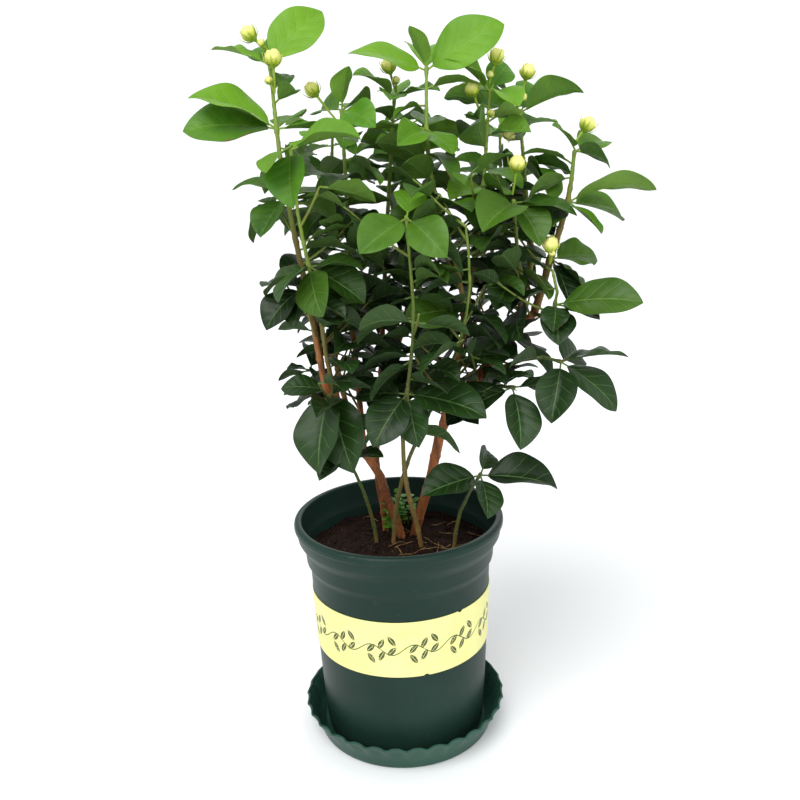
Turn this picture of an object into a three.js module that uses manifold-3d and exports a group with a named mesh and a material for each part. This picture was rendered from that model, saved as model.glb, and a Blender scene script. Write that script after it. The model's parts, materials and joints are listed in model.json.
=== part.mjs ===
// Potted Arabian jasmine: a bushy young Jasminum sambac in a round nursery pot,
// standing on a saucer with a scalloped lip.
//
// Units are millimetres and +Z is up. The origin is the centre of the saucer's
// underside, and the front of the pot faces -Y.

import * as THREE from 'three';
import { mergeVertices } from 'three/addons/utils/BufferGeometryUtils.js';
import Module from 'manifold-3d';

const wasm = await Module();
wasm.setup();

// ---------------------------------------------------------------------------
// Driving dimensions
// ---------------------------------------------------------------------------

const gap = 0.3; // air left between two pieces that would otherwise touch

const saucerFootRadius = 78;
const saucerLipRadius = 89;
const saucerHeight = 27;
const saucerWall = 2.4;
const scallopCount = 32;
const scallopDepth = 0.7; // in and out
const scallopDip = 0.9; // up and down

const potFloor = saucerWall + gap; // the pot stands on the saucer's floor
const rimTop = 200;
const rimRadius = 90;
const rollHeight = 7; // height of the rolled lip
const skirtRadius = 87; // lower edge of the skirt under the roll
const skirtHeight = 184;
const collarRadius = 82;
const collarTop = 176;
const shoulderHeight = 158; // where the collar steps in to the wall
const shoulderRise = 6;
const wallTopRadius = 78;
const footRadius = 70.5;
const potWall = 2.2;
const drainHoles = 6;
const drainHoleRadius = 5;
const drainCircle = 48;
const potSides = 48;

const bandTop = 138;
const bandBottom = 87;
const bandThickness = 0.5;

const soilLevel = 168; // at the wall; it is heaped up round the stems
const soilHeap = 7;

const petioleLength = 5;
const petioleRadius = 0.8;
const bladeWidth = 0.62; // greatest width of a blade over its length
const bladeThickness = 0.7;
const bladeFold = 0.16; // how steeply the two halves rise from the midrib
const sleeve = 1.1; // how far a swollen joint stands out from the stem
const sleeveHeight = 7;
const youngAbove = 330; // leaves above this height are this season's

const budRadius = 6.2;
const budLength = 13;
const stalkRadius = 1;

const crownHeart = { x: 15, y: 50 }; // leaves face away from this line
const crownReach = 60;
const facingRoll = 26;

// ---------------------------------------------------------------------------
// Colours
// ---------------------------------------------------------------------------

const finish = {
  pot: { color: 0x33483a, roughness: 0.42, metalness: 0 },
  saucer: { color: 0x3f5d51, roughness: 0.45, metalness: 0 },
  band: { color: 0xf8f6a6, roughness: 0.4, metalness: 0 },
  soil: { color: 0x2b1d18, roughness: 0.95, metalness: 0 },
  bark: { color: 0x9a5a2c, roughness: 0.75, metalness: 0 },
  greenStem: { color: 0x6f8a3c, roughness: 0.55, metalness: 0 },
  oldLeaf: { color: 0x2f431f, roughness: 0.4, metalness: 0 },
  youngLeaf: { color: 0x6a9a38, roughness: 0.4, metalness: 0 },
  bud: { color: 0xf2f3a0, roughness: 0.5, metalness: 0 },
};

const plant = new THREE.Group();
const named = new Map(); // every finished solid by its node's name

// ---------------------------------------------------------------------------
// Solids
// ---------------------------------------------------------------------------

const degrees = (angle) => THREE.MathUtils.degToRad(angle);
const up = new THREE.Vector3(0, 0, 1);

// The closed solid of a three.js geometry, ready to be joined or cut.
function solidOf(geometry) {
  geometry.deleteAttribute('normal');
  geometry.deleteAttribute('uv');
  const merged = mergeVertices(geometry, 1e-4);
  return new wasm.Manifold(new wasm.Mesh({
    numProp: 3,
    vertProperties: new Float32Array(merged.attributes.position.array),
    triVerts: new Uint32Array(merged.index.array),
  }));
}

// Adds one named sub-part to the plant.
function add(name, solid, look) {
  const mesh = solid.getMesh();
  const geometry = new THREE.BufferGeometry();
  geometry.setAttribute('position', new THREE.BufferAttribute(mesh.vertProperties, 3));
  geometry.setIndex(new THREE.BufferAttribute(mesh.triVerts, 1));
  geometry.computeVertexNormals();
  const part = new THREE.Mesh(geometry, new THREE.MeshStandardMaterial(look));
  part.name = name;
  plant.add(part);
  named.set(name, solid);
}

// A profile of [radius, height] pairs turned about Z. It starts and ends on the
// axis or closes on itself. `shape` may move each point before it becomes solid.
function turned(profile, sides, shape = (point) => point) {
  const geometry = new THREE.LatheGeometry(profile.map(([r, z]) => new THREE.Vector2(r, z)), sides);
  geometry.rotateX(Math.PI / 2);
  return solidOf(moved(geometry, shape));
}

// Moves every vertex of a geometry by a rule.
function moved(geometry, rule) {
  const position = geometry.attributes.position;
  const point = new THREE.Vector3();
  for (let i = 0; i < position.count; i += 1) {
    point.fromBufferAttribute(position, i);
    const after = rule(point);
    position.setXYZ(i, after.x, after.y, after.z);
  }
  return geometry;
}

// A round bar along a curve. Its radius runs evenly from `start` to `end`.
function bar(curve, start, end, sides, steps) {
  const profile = [new THREE.Vector2(0, 0)];
  for (let i = 0; i <= steps; i += 1) {
    profile.push(new THREE.Vector2(start + (end - start) * (i / steps), i));
  }
  profile.push(new THREE.Vector2(0, steps));
  const geometry = new THREE.LatheGeometry(profile, sides);
  const frames = curve.computeFrenetFrames(steps, false);
  const centres = curve.getSpacedPoints(steps);
  return solidOf(moved(geometry, (point) => {
    const station = Math.round(point.y);
    return centres[station].clone()
      .addScaledVector(frames.normals[station], point.x)
      .addScaledVector(frames.binormals[station], -point.z);
  }));
}

// ---------------------------------------------------------------------------
// Saucer, pot, band and soil
// ---------------------------------------------------------------------------

function makeSaucer() {
  const flare = saucerLipRadius - saucerFootRadius;
  const waist = saucerFootRadius + flare * 0.55;
  const profile = [
    [0, 0],
    [saucerFootRadius - 3, 0],
    [saucerFootRadius, 2],
    [waist, saucerHeight * 0.55],
    [saucerLipRadius, saucerHeight],
    [saucerLipRadius - saucerWall, saucerHeight + 0.4],
    [waist - saucerWall, saucerHeight * 0.55],
    [saucerFootRadius - 1.5, saucerWall + 2.4],
    [saucerFootRadius - 4, saucerWall],
    [0, saucerWall],
  ];
  // The lip waves in and out, and up and down, once for each scallop.
  return turned(profile, scallopCount * 3, (point) => {
    const lift = THREE.MathUtils.smoothstep(point.z, saucerHeight * 0.5, saucerHeight);
    const wave = Math.cos(scallopCount * Math.atan2(point.y, point.x)) * lift;
    const radius = Math.hypot(point.x, point.y) || 1;
    const stretch = 1 + (wave * scallopDepth) / radius;
    return point.set(point.x * stretch, point.y * stretch, point.z - wave * scallopDip);
  });
}

// Radius of the pot's outer wall at a height below the shoulder.
const wallRadius = (z) => footRadius
  + (wallTopRadius - footRadius) * ((z - potFloor) / (shoulderHeight - potFloor)) ** 0.8;

function makePot() {
  const outer = [
    [0, potFloor],
    [footRadius - 2.5, potFloor],
    [wallRadius(potFloor + 2.5), potFloor + 2.5],
    [wallRadius(bandBottom), bandBottom],
    [wallRadius(bandTop), bandTop],
    [wallTopRadius, shoulderHeight],
    [collarRadius - 1, shoulderHeight + shoulderRise],
    [collarRadius, collarTop],
    [skirtRadius, skirtHeight],
    [rimRadius - 1.2, rimTop - rollHeight - 0.8],
    [rimRadius, rimTop - rollHeight + 1.5],
    [rimRadius, rimTop - 3],
    [rimRadius - 1.2, rimTop - 0.6],
    [rimRadius - 4, rimTop],
    [rimRadius - 6, rimTop - 1.8],
  ];
  const inner = [
    [skirtRadius - potWall, skirtHeight + 0.8],
    [collarRadius - potWall, collarTop + 1],
    [collarRadius - 1 - potWall, shoulderHeight + shoulderRise - 0.6],
    [wallTopRadius - potWall, shoulderHeight - 1],
    [wallRadius(bandBottom) - potWall, bandBottom],
    [footRadius - potWall, potFloor + potWall + 3],
    [footRadius - potWall - 3, potFloor + potWall],
    [0, potFloor + potWall],
  ];
  let pot = turned([...outer, ...inner], potSides);
  for (let i = 0; i < drainHoles; i += 1) {
    const angle = (i / drainHoles) * 2 * Math.PI;
    const drill = new THREE.CylinderGeometry(drainHoleRadius, drainHoleRadius, 12, 12);
    drill.rotateX(Math.PI / 2);
    drill.translate(drainCircle * Math.cos(angle), drainCircle * Math.sin(angle), potFloor);
    pot = pot.subtract(solidOf(drill));
  }
  return pot;
}

// A thin printed sleeve round the wall, bare of any print.
function makeBand() {
  const inside = (z) => wallRadius(z) + gap;
  return turned([
    [inside(bandBottom), bandBottom],
    [inside(bandBottom) + bandThickness, bandBottom],
    [inside(bandTop) + bandThickness, bandTop],
    [inside(bandTop), bandTop],
    [inside(bandBottom), bandBottom],
  ], potSides);
}

// Soil fills the pot nearly to the shoulder, heaped and lumpy on top.
function makeSoil() {
  const inside = (z) => wallRadius(z) - potWall - gap - 0.4;
  const underside = potFloor + potWall + gap + 0.4;
  const edge = collarRadius - potWall - 1;
  const top = [0.8, 0.55, 0.25].map((share) => [edge * share, soilLevel]);
  return turned([
    [0, underside],
    [footRadius - potWall - 5, underside],
    [footRadius - potWall - 1, underside + 5],
    [inside(bandBottom), bandBottom],
    [inside(shoulderHeight - 1), shoulderHeight - 1],
    [edge - 0.8, shoulderHeight + shoulderRise],
    [edge, soilLevel],
    ...top,
    [0, soilLevel],
  ], 24, (point) => {
    if (point.z < soilLevel - 1) return point;
    const radius = Math.hypot(point.x, point.y);
    const heap = soilHeap * (1 - (radius / wallTopRadius) ** 2);
    const lumps = 1.6 * Math.sin(point.x * 0.19 + 1) * Math.cos(point.y * 0.23) * Math.min(1, radius / 12);
    return point.setZ(point.z + heap + lumps);
  });
}

add('saucer', makeSaucer(), finish.saucer);
add('pot', makePot(), finish.pot);
add('label_band', makeBand(), finish.band);

// ---------------------------------------------------------------------------
// Stems
// ---------------------------------------------------------------------------

// Each shoot is a route from its foot to its tip, with its radius at both ends.
// A shoot that grows out of another starts on the other one's route.
const shoots = {
  rightTrunk: [[13, 16, 150], [14, 14, 176], [22, 6, 206], [30, 0, 236], [39, -6, 278], [48, -4, 294],
    [68, 0, 317], [102, 6, 355]],
  rightArm: [[102, 6, 355], [116, 0, 370], [125, -5, 405], [131, -8, 426], [140, -13, 460], [143, -18, 497]],
  leftTrunk: [[2, 8, 150], [2, 8, 176], [-8, 6, 206], [-16, 4, 238], [-27, 0, 256], [-41, -10, 289],
    [-55, -25, 325]],
  tallLeft: [[-55, -25, 325], [-62, -30, 387], [-72, -30, 454], [-78, -25, 502], [-82, -15, 569]],
  secondLeft: [[-41, -10, 289], [-50, -30, 335], [-54, -42, 385], [-64, -52, 455], [-66, -57, 505]],
  innerLeft: [[-27, 0, 256], [-31, 20, 332], [-34, 25, 391], [-32, 18, 453], [-32, 5, 533]],
  backLeft: [[-27, 0, 256], [-48, 55, 305], [-58, 92, 390], [-50, 105, 470], [-45, 98, 525]],
  middle: [[-12, 22, 150], [-12, 24, 182], [-18, 30, 236], [-13, 45, 289], [-6, 55, 377], [0, 50, 449],
    [9, 30, 541]],
  backCentre: [[-13, 45, 289], [12, 98, 350], [25, 118, 439], [24, 110, 525]],
  centre: [[39, -6, 278], [47, -18, 322], [58, -25, 370], [52, -22, 415], [41, -15, 453], [33, -4, 500],
    [34, 5, 562]],
  centreRight: [[58, -25, 370], [68, -10, 420], [74, 0, 455], [79, 8, 500], [83, 15, 544]],
  trio: [[102, 6, 355], [105, -8, 390], [101, -14, 418], [98, -20, 446], [96, -25, 463]],
  rightBack: [[102, 6, 355], [118, 26, 410], [115, 35, 458], [108, 28, 527]],
  budRight: [[116, 0, 370], [124, -28, 374], [128, -40, 388], [123, -42, 412]],
  rightLow: [[68, 0, 317], [92, -4, 328], [113, -20, 339], [131, -44, 340]],
  lowRight: [[48, -4, 294], [66, -10, 308], [84, -26, 317], [96, -40, 320]],
  backRight: [[30, 0, 236], [54, 50, 304], [82, 88, 367], [100, 98, 455], [100, 94, 520]],
  front: [[20, -14, 150], [18, -16, 182], [8, -30, 235], [6, -42, 278], [10, -48, 316], [17, -58, 376],
    [14, -68, 457]],
  slender: [[-4, -4, 150], [-5, -6, 182], [6, -20, 244], [28, -34, 300], [52, -50, 360], [60, -53, 405],
    [57, -58, 448]],
  sprout: [[46, -20, 150], [46, -24, 176], [52, -32, 215], [68, -42, 250]],
  lowLeft: [[-20, 4, 150], [-20, 0, 178], [-28, -14, 225], [-39, -32, 263]],
};

// Radii at foot and tip, in the order of age.
const girth = {
  rightTrunk: [4.9, 4.2], rightArm: [4, 1.5], leftTrunk: [4.3, 3.3], tallLeft: [3, 1.4],
  secondLeft: [2.4, 1.3], innerLeft: [3, 1.4], backLeft: [3, 1.4], middle: [3.6, 1.4],
  backCentre: [2.8, 1.4], centre: [3, 1.4], centreRight: [2.2, 1.3], trio: [2.4, 1.5],
  rightBack: [2.8, 1.4], budRight: [2, 1.2], rightLow: [2.6, 1.4], lowRight: [2.4, 1.4],
  backRight: [3.2, 1.4], front: [2.4, 1.3], slender: [2.2, 1.2], sprout: [2.2, 1.4],
  lowLeft: [2.2, 1.4],
};

// Shoots that grew from one crown are one piece of wood.
const wood = {
  stems_right: ['rightTrunk', 'rightArm', 'centre', 'centreRight', 'trio', 'rightBack', 'budRight',
    'rightLow', 'lowRight', 'backRight'],
  stems_left: ['leftTrunk', 'tallLeft', 'secondLeft', 'innerLeft', 'backLeft'],
  stems_middle: ['middle', 'backCentre'],
  stem_front: ['front'],
  stem_slender: ['slender'],
  stem_sprout: ['sprout'],
  stem_low_left: ['lowLeft'],
};

const routes = {};
for (const [name, points] of Object.entries(shoots)) {
  routes[name] = new THREE.CatmullRomCurve3(points.map((point) => new THREE.Vector3(...point)));
}

const stemStep = 22; // length of one straight stretch of a stem

// A shoot as a solid, `extra` thicker all round than it really is.
function shoot(name, extra = 0) {
  const route = routes[name];
  const [foot, tip] = girth[name];
  const steps = Math.max(4, Math.round(route.getLength() / stemStep));
  return bar(route, foot + extra, tip + extra, 6, steps);
}

const joined = (solids) => solids.reduce((whole, solid) => whole.add(solid));

const roomForStems = []; // the stems as holes: each a little wider than its stem
for (const [name, members] of Object.entries(wood)) {
  roomForStems.push(joined(members.map((member) => shoot(member, gap))));
  let solid = joined(members.map((member) => shoot(member)));
  // A later stem gives way to the ones already standing.
  for (const hole of roomForStems.slice(0, -1)) solid = solid.subtract(hole);
  add(name, solid, name === 'stems_right' || name === 'stems_left' ? finish.bark : finish.greenStem);
}

let soil = makeSoil();
for (const hole of roomForStems) soil = soil.subtract(hole);
add('soil', soil, finish.soil);

// ---------------------------------------------------------------------------
// Flower buds
// ---------------------------------------------------------------------------

// Each bud hangs on a stalk that leaves a shoot at a share of its length. The
// bud's middle stands away from there by the given step.
const buds = [
  ['tallLeft', 1, [-14, 2, 18]],
  ['tallLeft', 0.9, [2, -4, 24]],
  ['innerLeft', 0.97, [-22, 6, 24]],
  ['middle', 1, [-4, -4, 24]],
  ['centreRight', 1, [6, 4, 24]],
  ['centreRight', 0.86, [-12, -4, 26]],
  ['rightBack', 1, [6, -2, 30]],
  ['rightBack', 0.94, [-12, -24, -4]],
  ['trio', 1, [2, -6, 26]],
  ['rightArm', 1, [10, 2, 18]],
  ['budRight', 1, [-2, -4, 18]],
];

function makeBud(name, share, step) {
  const route = routes[name];
  const [foot, tip] = girth[name];
  const stemRadius = foot + (tip - foot) * share;
  const axis = route.getTangentAt(Math.min(share, 0.999));
  const away = new THREE.Vector3(...step);
  const leave = share === 1 ? axis.clone() : away.clone().addScaledVector(axis, -away.dot(axis)).normalize();
  const clear = share === 1 ? 4 : stemRadius + sleeve + gap;
  const start = route.getPointAt(share).addScaledVector(leave, clear);
  const middle = route.getPointAt(share).add(away);
  const point = middle.clone().sub(start).lerp(up, 0.2).normalize();
  const seat = middle.clone().addScaledVector(point, -budLength * 0.45);
  const knee = start.clone().lerp(seat, 0.5).addScaledVector(leave, 1.5);
  const stalk = bar(new THREE.QuadraticBezierCurve3(start, knee, seat), stalkRadius, stalkRadius * 1.2, 5, 3);
  // A green cup, then a plump bud that closes to a blunt tip.
  const body = new THREE.LatheGeometry([
    [0, -1.5], [2, -1], [budRadius * 0.75, 2.5], [budRadius, budLength * 0.45],
    [budRadius * 0.7, budLength * 0.85], [0, budLength],
  ].map(([r, y]) => new THREE.Vector2(r, y)), 7);
  body.applyQuaternion(new THREE.Quaternion().setFromUnitVectors(new THREE.Vector3(0, 1, 0), point));
  body.translate(seat.x, seat.y, seat.z);
  return stalk.add(solidOf(body));
}

buds.forEach(([name, share, step], index) => {
  add(`bud_${String(index + 1).padStart(2, '0')}`, makeBud(name, share, step), finish.bud);
});

// ---------------------------------------------------------------------------
// Leaves
// ---------------------------------------------------------------------------

// Outline of a blade: its half width, as a share of the greatest, along it.
const outline = [[0.14, 0.62], [0.45, 1], [0.78, 0.6]];

// A leaf that starts at `foot` and points along `heading`, both angles measured
// in degrees. Its midrib is an arc that turns down by `droop` from foot to tip.
function makeLeaf(foot, { heading, rise, length, droop, roll }, thick = bladeThickness, from = 0) {
  const width = bladeWidth * length;
  const stations = [[petioleLength, petioleRadius]];
  for (const [share, half] of outline) {
    stations.push([petioleLength + (length - petioleLength) * share, (width / 2) * half]);
  }
  if (from === 0) stations.unshift([0, petioleRadius]);
  const profile = stations.map(([y, r]) => new THREE.Vector2(r, y));
  profile.unshift(new THREE.Vector2(0, profile[0].y));
  profile.push(new THREE.Vector2(0, length));
  const geometry = new THREE.LatheGeometry(profile, 4);
  const forward = new THREE.Vector3(Math.cos(degrees(heading)), Math.sin(degrees(heading)), 0);
  const side = forward.clone().cross(up);
  const start = degrees(rise + droop / 2);
  const turn = -degrees(droop) / length;
  return solidOf(moved(geometry, (point) => {
    const angle = start + turn * point.y;
    const along = (Math.sin(angle) - Math.sin(start)) / turn;
    const climb = (Math.cos(start) - Math.cos(angle)) / turn;
    // Four corners to a section: two edges, and the midrib above and below.
    const isRib = Math.abs(point.x) < 1e-6;
    const half = point.y > petioleLength ? thick / 2 : thick / 2 + 0.35;
    const across = point.x;
    const out = isRib ? Math.sign(point.z) * half : Math.abs(point.x) * bladeFold;
    const turned = degrees(roll) * Math.min(1, point.y / (petioleLength * 2));
    const x = across * Math.cos(turned) - out * Math.sin(turned);
    const z = across * Math.sin(turned) + out * Math.cos(turned);
    return foot.clone()
      .addScaledVector(forward, along - Math.sin(angle) * z)
      .addScaledVector(up, climb + Math.cos(angle) * z)
      .addScaledVector(side, x);
  }));
}

// Leaves turn their faces out of the crown: the further from its heart a joint
// is, the more a leaf that points sideways rolls about its own midrib.
function facing(centre, heading) {
  const away = new THREE.Vector2(centre.x - crownHeart.x, centre.y - crownHeart.y);
  const pull = Math.min(1, away.length() / crownReach);
  const side = new THREE.Vector2(Math.sin(degrees(heading)), -Math.cos(degrees(heading)));
  return -facingRoll * pull * side.dot(away.normalize());
}

// Tiers of leaves. Each names its shoot, the share of the shoot's length where
// it sits, and its leaves as [heading, rise, length, droop], with a further roll
// about the midrib where a leaf is twisted.
const tiers = [
  ['tallLeft', 1, [[36, 36, 60, 20, -30], [-175, 14, 44, 50], [105, 40, 39, 30]]],
  ['tallLeft', 0.79, [[-170, 24, 68, 30, 12], [-174, 4, 70, 35], [70, 15, 46, 30], [10, 0, 44, 40]]],
  ['tallLeft', 0.6, [[-155, 10, 44, 50], [-120, -35, 44, 20], [-150, -45, 50, 20], [20, 0, 44, 35],
    [110, -10, 46, 30]]],
  ['tallLeft', 0.32, [[-145, -38, 48, 35], [-95, -28, 40, 30], [-30, -25, 46, 30], [150, 0, 44, 40]]],
  ['leftTrunk', 0.96, [[-105, -58, 70, 12], [-62, -48, 70, 15], [130, -25, 60, 20], [175, 5, 40, 25],
    [60, 5, 47, 30]]],
  ['secondLeft', 1, [[-88, -52, 50, 18], [-20, 10, 56, 50], [-110, -20, 44, 30], [60, 15, 44, 30]]],
  ['secondLeft', 0.62, [[-75, -40, 50, 20], [-20, 2, 44, 30], [-118, -25, 48, 30], [-35, -30, 50, 20],
    [160, -30, 46, 25]]],
  ['innerLeft', 1, [[-65, 62, 34, 20], [145, 2, 44, 35], [-50, -20, 43, 30], [60, 10, 44, 30]]],
  ['innerLeft', 0.72, [[-135, -23, 54, 25], [-45, -40, 54, 30], [90, 10, 46, 30], [180, -10, 50, 30]]],
  ['innerLeft', 0.48, [[-50, -25, 64, 25], [-115, -40, 56, 25], [100, 2, 48, 30], [20, -20, 50, 30]]],
  ['middle', 1, [[-145, 25, 42, 35], [-30, 8, 42, 35], [90, 10, 46, 30], [-95, 0, 36, 30]]],
  ['middle', 0.68, [[-130, -8, 54, 25], [-55, -26, 54, 25], [110, -10, 50, 30], [30, -5, 46, 30],
    [-90, -30, 50, 25]]],
  ['centre', 1, [[-172, 12, 62, 50], [-135, 60, 34, 20], [-5, 25, 66, 35, -20], [95, 20, 50, 35]]],
  ['centre', 0.84, [[-125, -15, 40, 20], [-60, -22, 40, 20], [85, 12, 46, 30], [175, 5, 46, 30]]],
  ['centre', 0.64, [[-135, -16, 56, 30], [-62, 2, 48, 30], [-105, -35, 50, 20], [60, -10, 50, 30]]],
  ['centre', 0.36, [[-138, 0, 56, 25], [-60, -20, 50, 25], [-105, -48, 58, 20], [120, -20, 52, 30]]],
  ['centreRight', 1, [[-155, 32, 46, 55], [55, 35, 38, 30], [-60, -22, 40, 25], [150, 0, 44, 30]]],
  ['centreRight', 0.6, [[-130, -10, 46, 25], [-72, -5, 40, 25], [-100, -30, 52, 25], [40, -10, 50, 30]]],
  ['rightBack', 1, [[-165, 15, 56, 25], [125, 38, 40, 30], [-25, 15, 54, 35], [30, 30, 46, 30]]],
  ['rightBack', 0.78, [[-35, -13, 44, 25], [-70, -30, 54, 20], [-125, -33, 46, 25], [100, -10, 52, 30]]],
  ['trio', 0.98, [[-160, -15, 60, 45], [-18, -10, 50, 40], [-62, -42, 46, 25]]],
  ['trio', 0.5, [[-125, -33, 48, 25], [-55, -23, 44, 25], [170, -15, 48, 30]]],
  ['rightArm', 1, [[-135, 32, 34, 30], [45, 10, 44, 30], [-60, -15, 42, 30]]],
  ['rightArm', 0.74, [[-15, 8, 68, 45], [-135, -23, 54, 25], [22, -18, 56, 40], [-60, -25, 44, 20]]],
  ['rightArm', 0.45, [[-38, -43, 46, 25], [120, 0, 48, 30], [30, -5, 50, 30], [-100, -33, 46, 25]]],
  ['rightTrunk', 0.97, [[-130, -28, 60, 25], [40, -22, 52, 25], [90, -10, 56, 30], [-70, -43, 52, 25]]],
  ['budRight', 0.6, [[-105, -25, 36, 20], [-22, -10, 38, 25], [-10, 4, 66, 30], [-70, -30, 44, 25]]],
  ['rightLow', 1, [[-15, 8, 50, 25], [-22, -38, 58, 20], [-118, -55, 50, 15], [60, 0, 46, 25]]],
  ['lowRight', 1, [[-92, -52, 52, 15], [-142, -25, 62, 25], [-30, -5, 44, 30]]],
  ['front', 1, [[-140, -28, 50, 30], [-50, -32, 48, 30], [80, 20, 40, 30]]],
  ['front', 0.56, [[-130, -38, 54, 25], [-28, -8, 68, 25], [-75, -35, 46, 25], [170, -5, 46, 30],
    [50, -10, 44, 30]]],
  ['sprout', 1, [[-12, -8, 62, 25], [-155, -8, 54, 25], [75, 18, 32, 30], [-95, -35, 42, 25]]],
  ['lowLeft', 1, [[-140, 20, 38, 25], [-105, -12, 34, 25], [-60, 12, 36, 25], [150, -5, 42, 25]]],
  ['backLeft', 0.97, [[60, 25, 46, 30], [150, 15, 52, 30], [-120, 0, 44, 30], [-40, 10, 44, 30]]],
  ['backLeft', 0.6, [[80, -10, 56, 30], [160, -20, 58, 30], [30, -10, 52, 30], [120, -30, 50, 25]]],
  ['backCentre', 0.94, [[40, 10, 50, 30], [110, 15, 46, 30], [-160, 0, 50, 30], [-20, 10, 50, 30]]],
  ['backRight', 0.97, [[50, 20, 50, 30], [130, 25, 46, 30], [-10, 10, 54, 30], [-120, 5, 44, 30]]],
  ['backRight', 0.6, [[90, -15, 56, 30], [20, -20, 60, 30], [150, -10, 52, 30], [60, -35, 50, 25]]],
];

const stemSolids = Object.keys(wood).map((name) => named.get(name));

// Two solids meet where the part they share isn't empty.
function meets(solid, other) {
  const a = solid.boundingBox();
  const b = other.boundingBox();
  const apart = [0, 1, 2].some((axis) => a.min[axis] > b.max[axis] || b.min[axis] > a.max[axis]);
  return !apart && !solid.intersect(other).isEmpty();
}

// Turns a leaf aside, as one does in growing, until it clears everything else.
const sidesteps = [0, 9, -9, 18, -18, 28, -28, 40, -40, 55, -55];
const nods = [0, -10, 10, -20, 20];

function settle(foot, wish, siblings) {
  const around = [...named.values()].filter((solid) => !stemSolids.includes(solid));
  for (const scale of [1, 0.85, 0.7]) {
    for (const nod of nods) {
      for (const sidestep of sidesteps) {
        const leaf = {
          ...wish,
          length: wish.length * scale,
          heading: wish.heading + sidestep,
          rise: wish.rise + nod,
        };
        const whole = makeLeaf(foot, leaf, bladeThickness + 2 * gap);
        const blade = makeLeaf(foot, leaf, bladeThickness + 2 * gap, 1);
        const blocked = around.some((solid) => meets(whole, solid))
          || [...roomForStems, ...siblings].some((solid) => meets(blade, solid));
        if (!blocked) {
          siblings.push(blade);
          return makeLeaf(foot, leaf);
        }
      }
    }
  }
  return null;
}

tiers.forEach(([name, share, leaves], index) => {
  const route = routes[name];
  const [foot, tip] = girth[name];
  const stemRadius = foot + (tip - foot) * share;
  const centre = route.getPointAt(share);
  const axis = route.getTangentAt(Math.min(share, 0.999));
  // The swollen joint: a short sleeve, or a cap where the shoot ends.
  const knob = new THREE.CylinderGeometry(stemRadius + sleeve, stemRadius + sleeve, sleeveHeight, 6);
  knob.applyQuaternion(new THREE.Quaternion().setFromUnitVectors(new THREE.Vector3(0, 1, 0), axis));
  knob.translate(centre.x, centre.y, centre.z);
  let tier = solidOf(knob);
  const siblings = [];
  leaves.forEach(([heading, rise, length, droop, extra = 0], count) => {
    const start = centre.clone().addScaledVector(axis, (count % 2 ? -1 : 1) * 1.2);
    const roll = 8 * Math.sin(5 * index + 3 * count) + facing(centre, heading) + extra;
    const leaf = settle(start, { heading, rise, length, droop, roll }, siblings);
    if (leaf) tier = tier.add(leaf);
  });
  for (const hole of roomForStems) tier = tier.subtract(hole);
  const label = `leaves_${String(index + 1).padStart(2, '0')}`;
  add(label, tier, centre.z > youngAbove ? finish.youngLeaf : finish.oldLeaf);
});
export default plant;
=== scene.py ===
# %% [markdown]
# # A potted Arabian jasmine
#
# The plant is a bushy young jasmine in a round nursery pot that stands on a saucer with a
# scalloped lip. The frame gives every stem, leaf and bud its place and size, so this
# lesson is about finish: real leaf blades with veins and wavy edges, bark that turns
# green towards the tips, folded petals, crumbly soil and moulded plastic.

# %% Load the frame
import json
import math
import random

import bmesh
import bpy
import numpy as np
from mathutils import Matrix, Vector, noise
from mathutils.bvhtree import BVHTree


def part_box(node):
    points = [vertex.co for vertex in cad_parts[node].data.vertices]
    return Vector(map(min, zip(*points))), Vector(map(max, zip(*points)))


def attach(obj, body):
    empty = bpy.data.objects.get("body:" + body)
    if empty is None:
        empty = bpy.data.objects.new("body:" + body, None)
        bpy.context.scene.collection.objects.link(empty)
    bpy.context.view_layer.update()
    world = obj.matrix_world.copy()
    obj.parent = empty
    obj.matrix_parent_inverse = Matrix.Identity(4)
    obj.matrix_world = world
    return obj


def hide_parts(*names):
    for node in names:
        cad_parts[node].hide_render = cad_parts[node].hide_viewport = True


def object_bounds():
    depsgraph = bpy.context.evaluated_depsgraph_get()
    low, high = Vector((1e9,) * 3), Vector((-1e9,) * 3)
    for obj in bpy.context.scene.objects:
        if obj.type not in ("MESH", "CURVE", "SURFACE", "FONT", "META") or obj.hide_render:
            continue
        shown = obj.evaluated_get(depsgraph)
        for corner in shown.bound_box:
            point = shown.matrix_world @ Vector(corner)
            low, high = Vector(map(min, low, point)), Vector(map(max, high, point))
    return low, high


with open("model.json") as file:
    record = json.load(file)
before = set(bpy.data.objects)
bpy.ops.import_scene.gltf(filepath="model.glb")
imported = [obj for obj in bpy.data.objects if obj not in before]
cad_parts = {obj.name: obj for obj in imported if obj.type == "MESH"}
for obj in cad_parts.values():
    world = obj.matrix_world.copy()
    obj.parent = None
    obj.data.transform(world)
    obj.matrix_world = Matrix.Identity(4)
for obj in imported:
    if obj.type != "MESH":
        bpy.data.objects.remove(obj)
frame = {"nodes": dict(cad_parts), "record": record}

cad_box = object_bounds()
nodes = frame["nodes"]
print("frame holds", len(nodes), "nodes, box", cad_box)

# %% [markdown]
# The camera comes first, because everything else is judged through it. It stands a little
# above the leaves, looks down by sixteen degrees and leans by two, as a hand-held camera
# does. A forty millimetre lens at this distance lets the far rim of the pot look clearly
# smaller than the near one.

# %% Camera
MM = 0.001
LOOK_DOWN = math.radians(15.98)
LEAN = math.radians(-2.055)
CAMERA_PLACE = Vector((4.9, -711.2, 505.0)) * MM
LENS = 39.94

bpy.ops.object.camera_add()
camera = bpy.context.object
camera.data.lens = LENS
camera.data.clip_start = 0.01
turn = Matrix.Rotation(math.radians(90) - LOOK_DOWN, 4, "X") @ Matrix.Rotation(LEAN, 4, "Z")
camera.matrix_world = Matrix.Translation(CAMERA_PLACE) @ turn
bpy.context.scene.camera = camera
print("camera at", tuple(camera.location))

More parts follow.
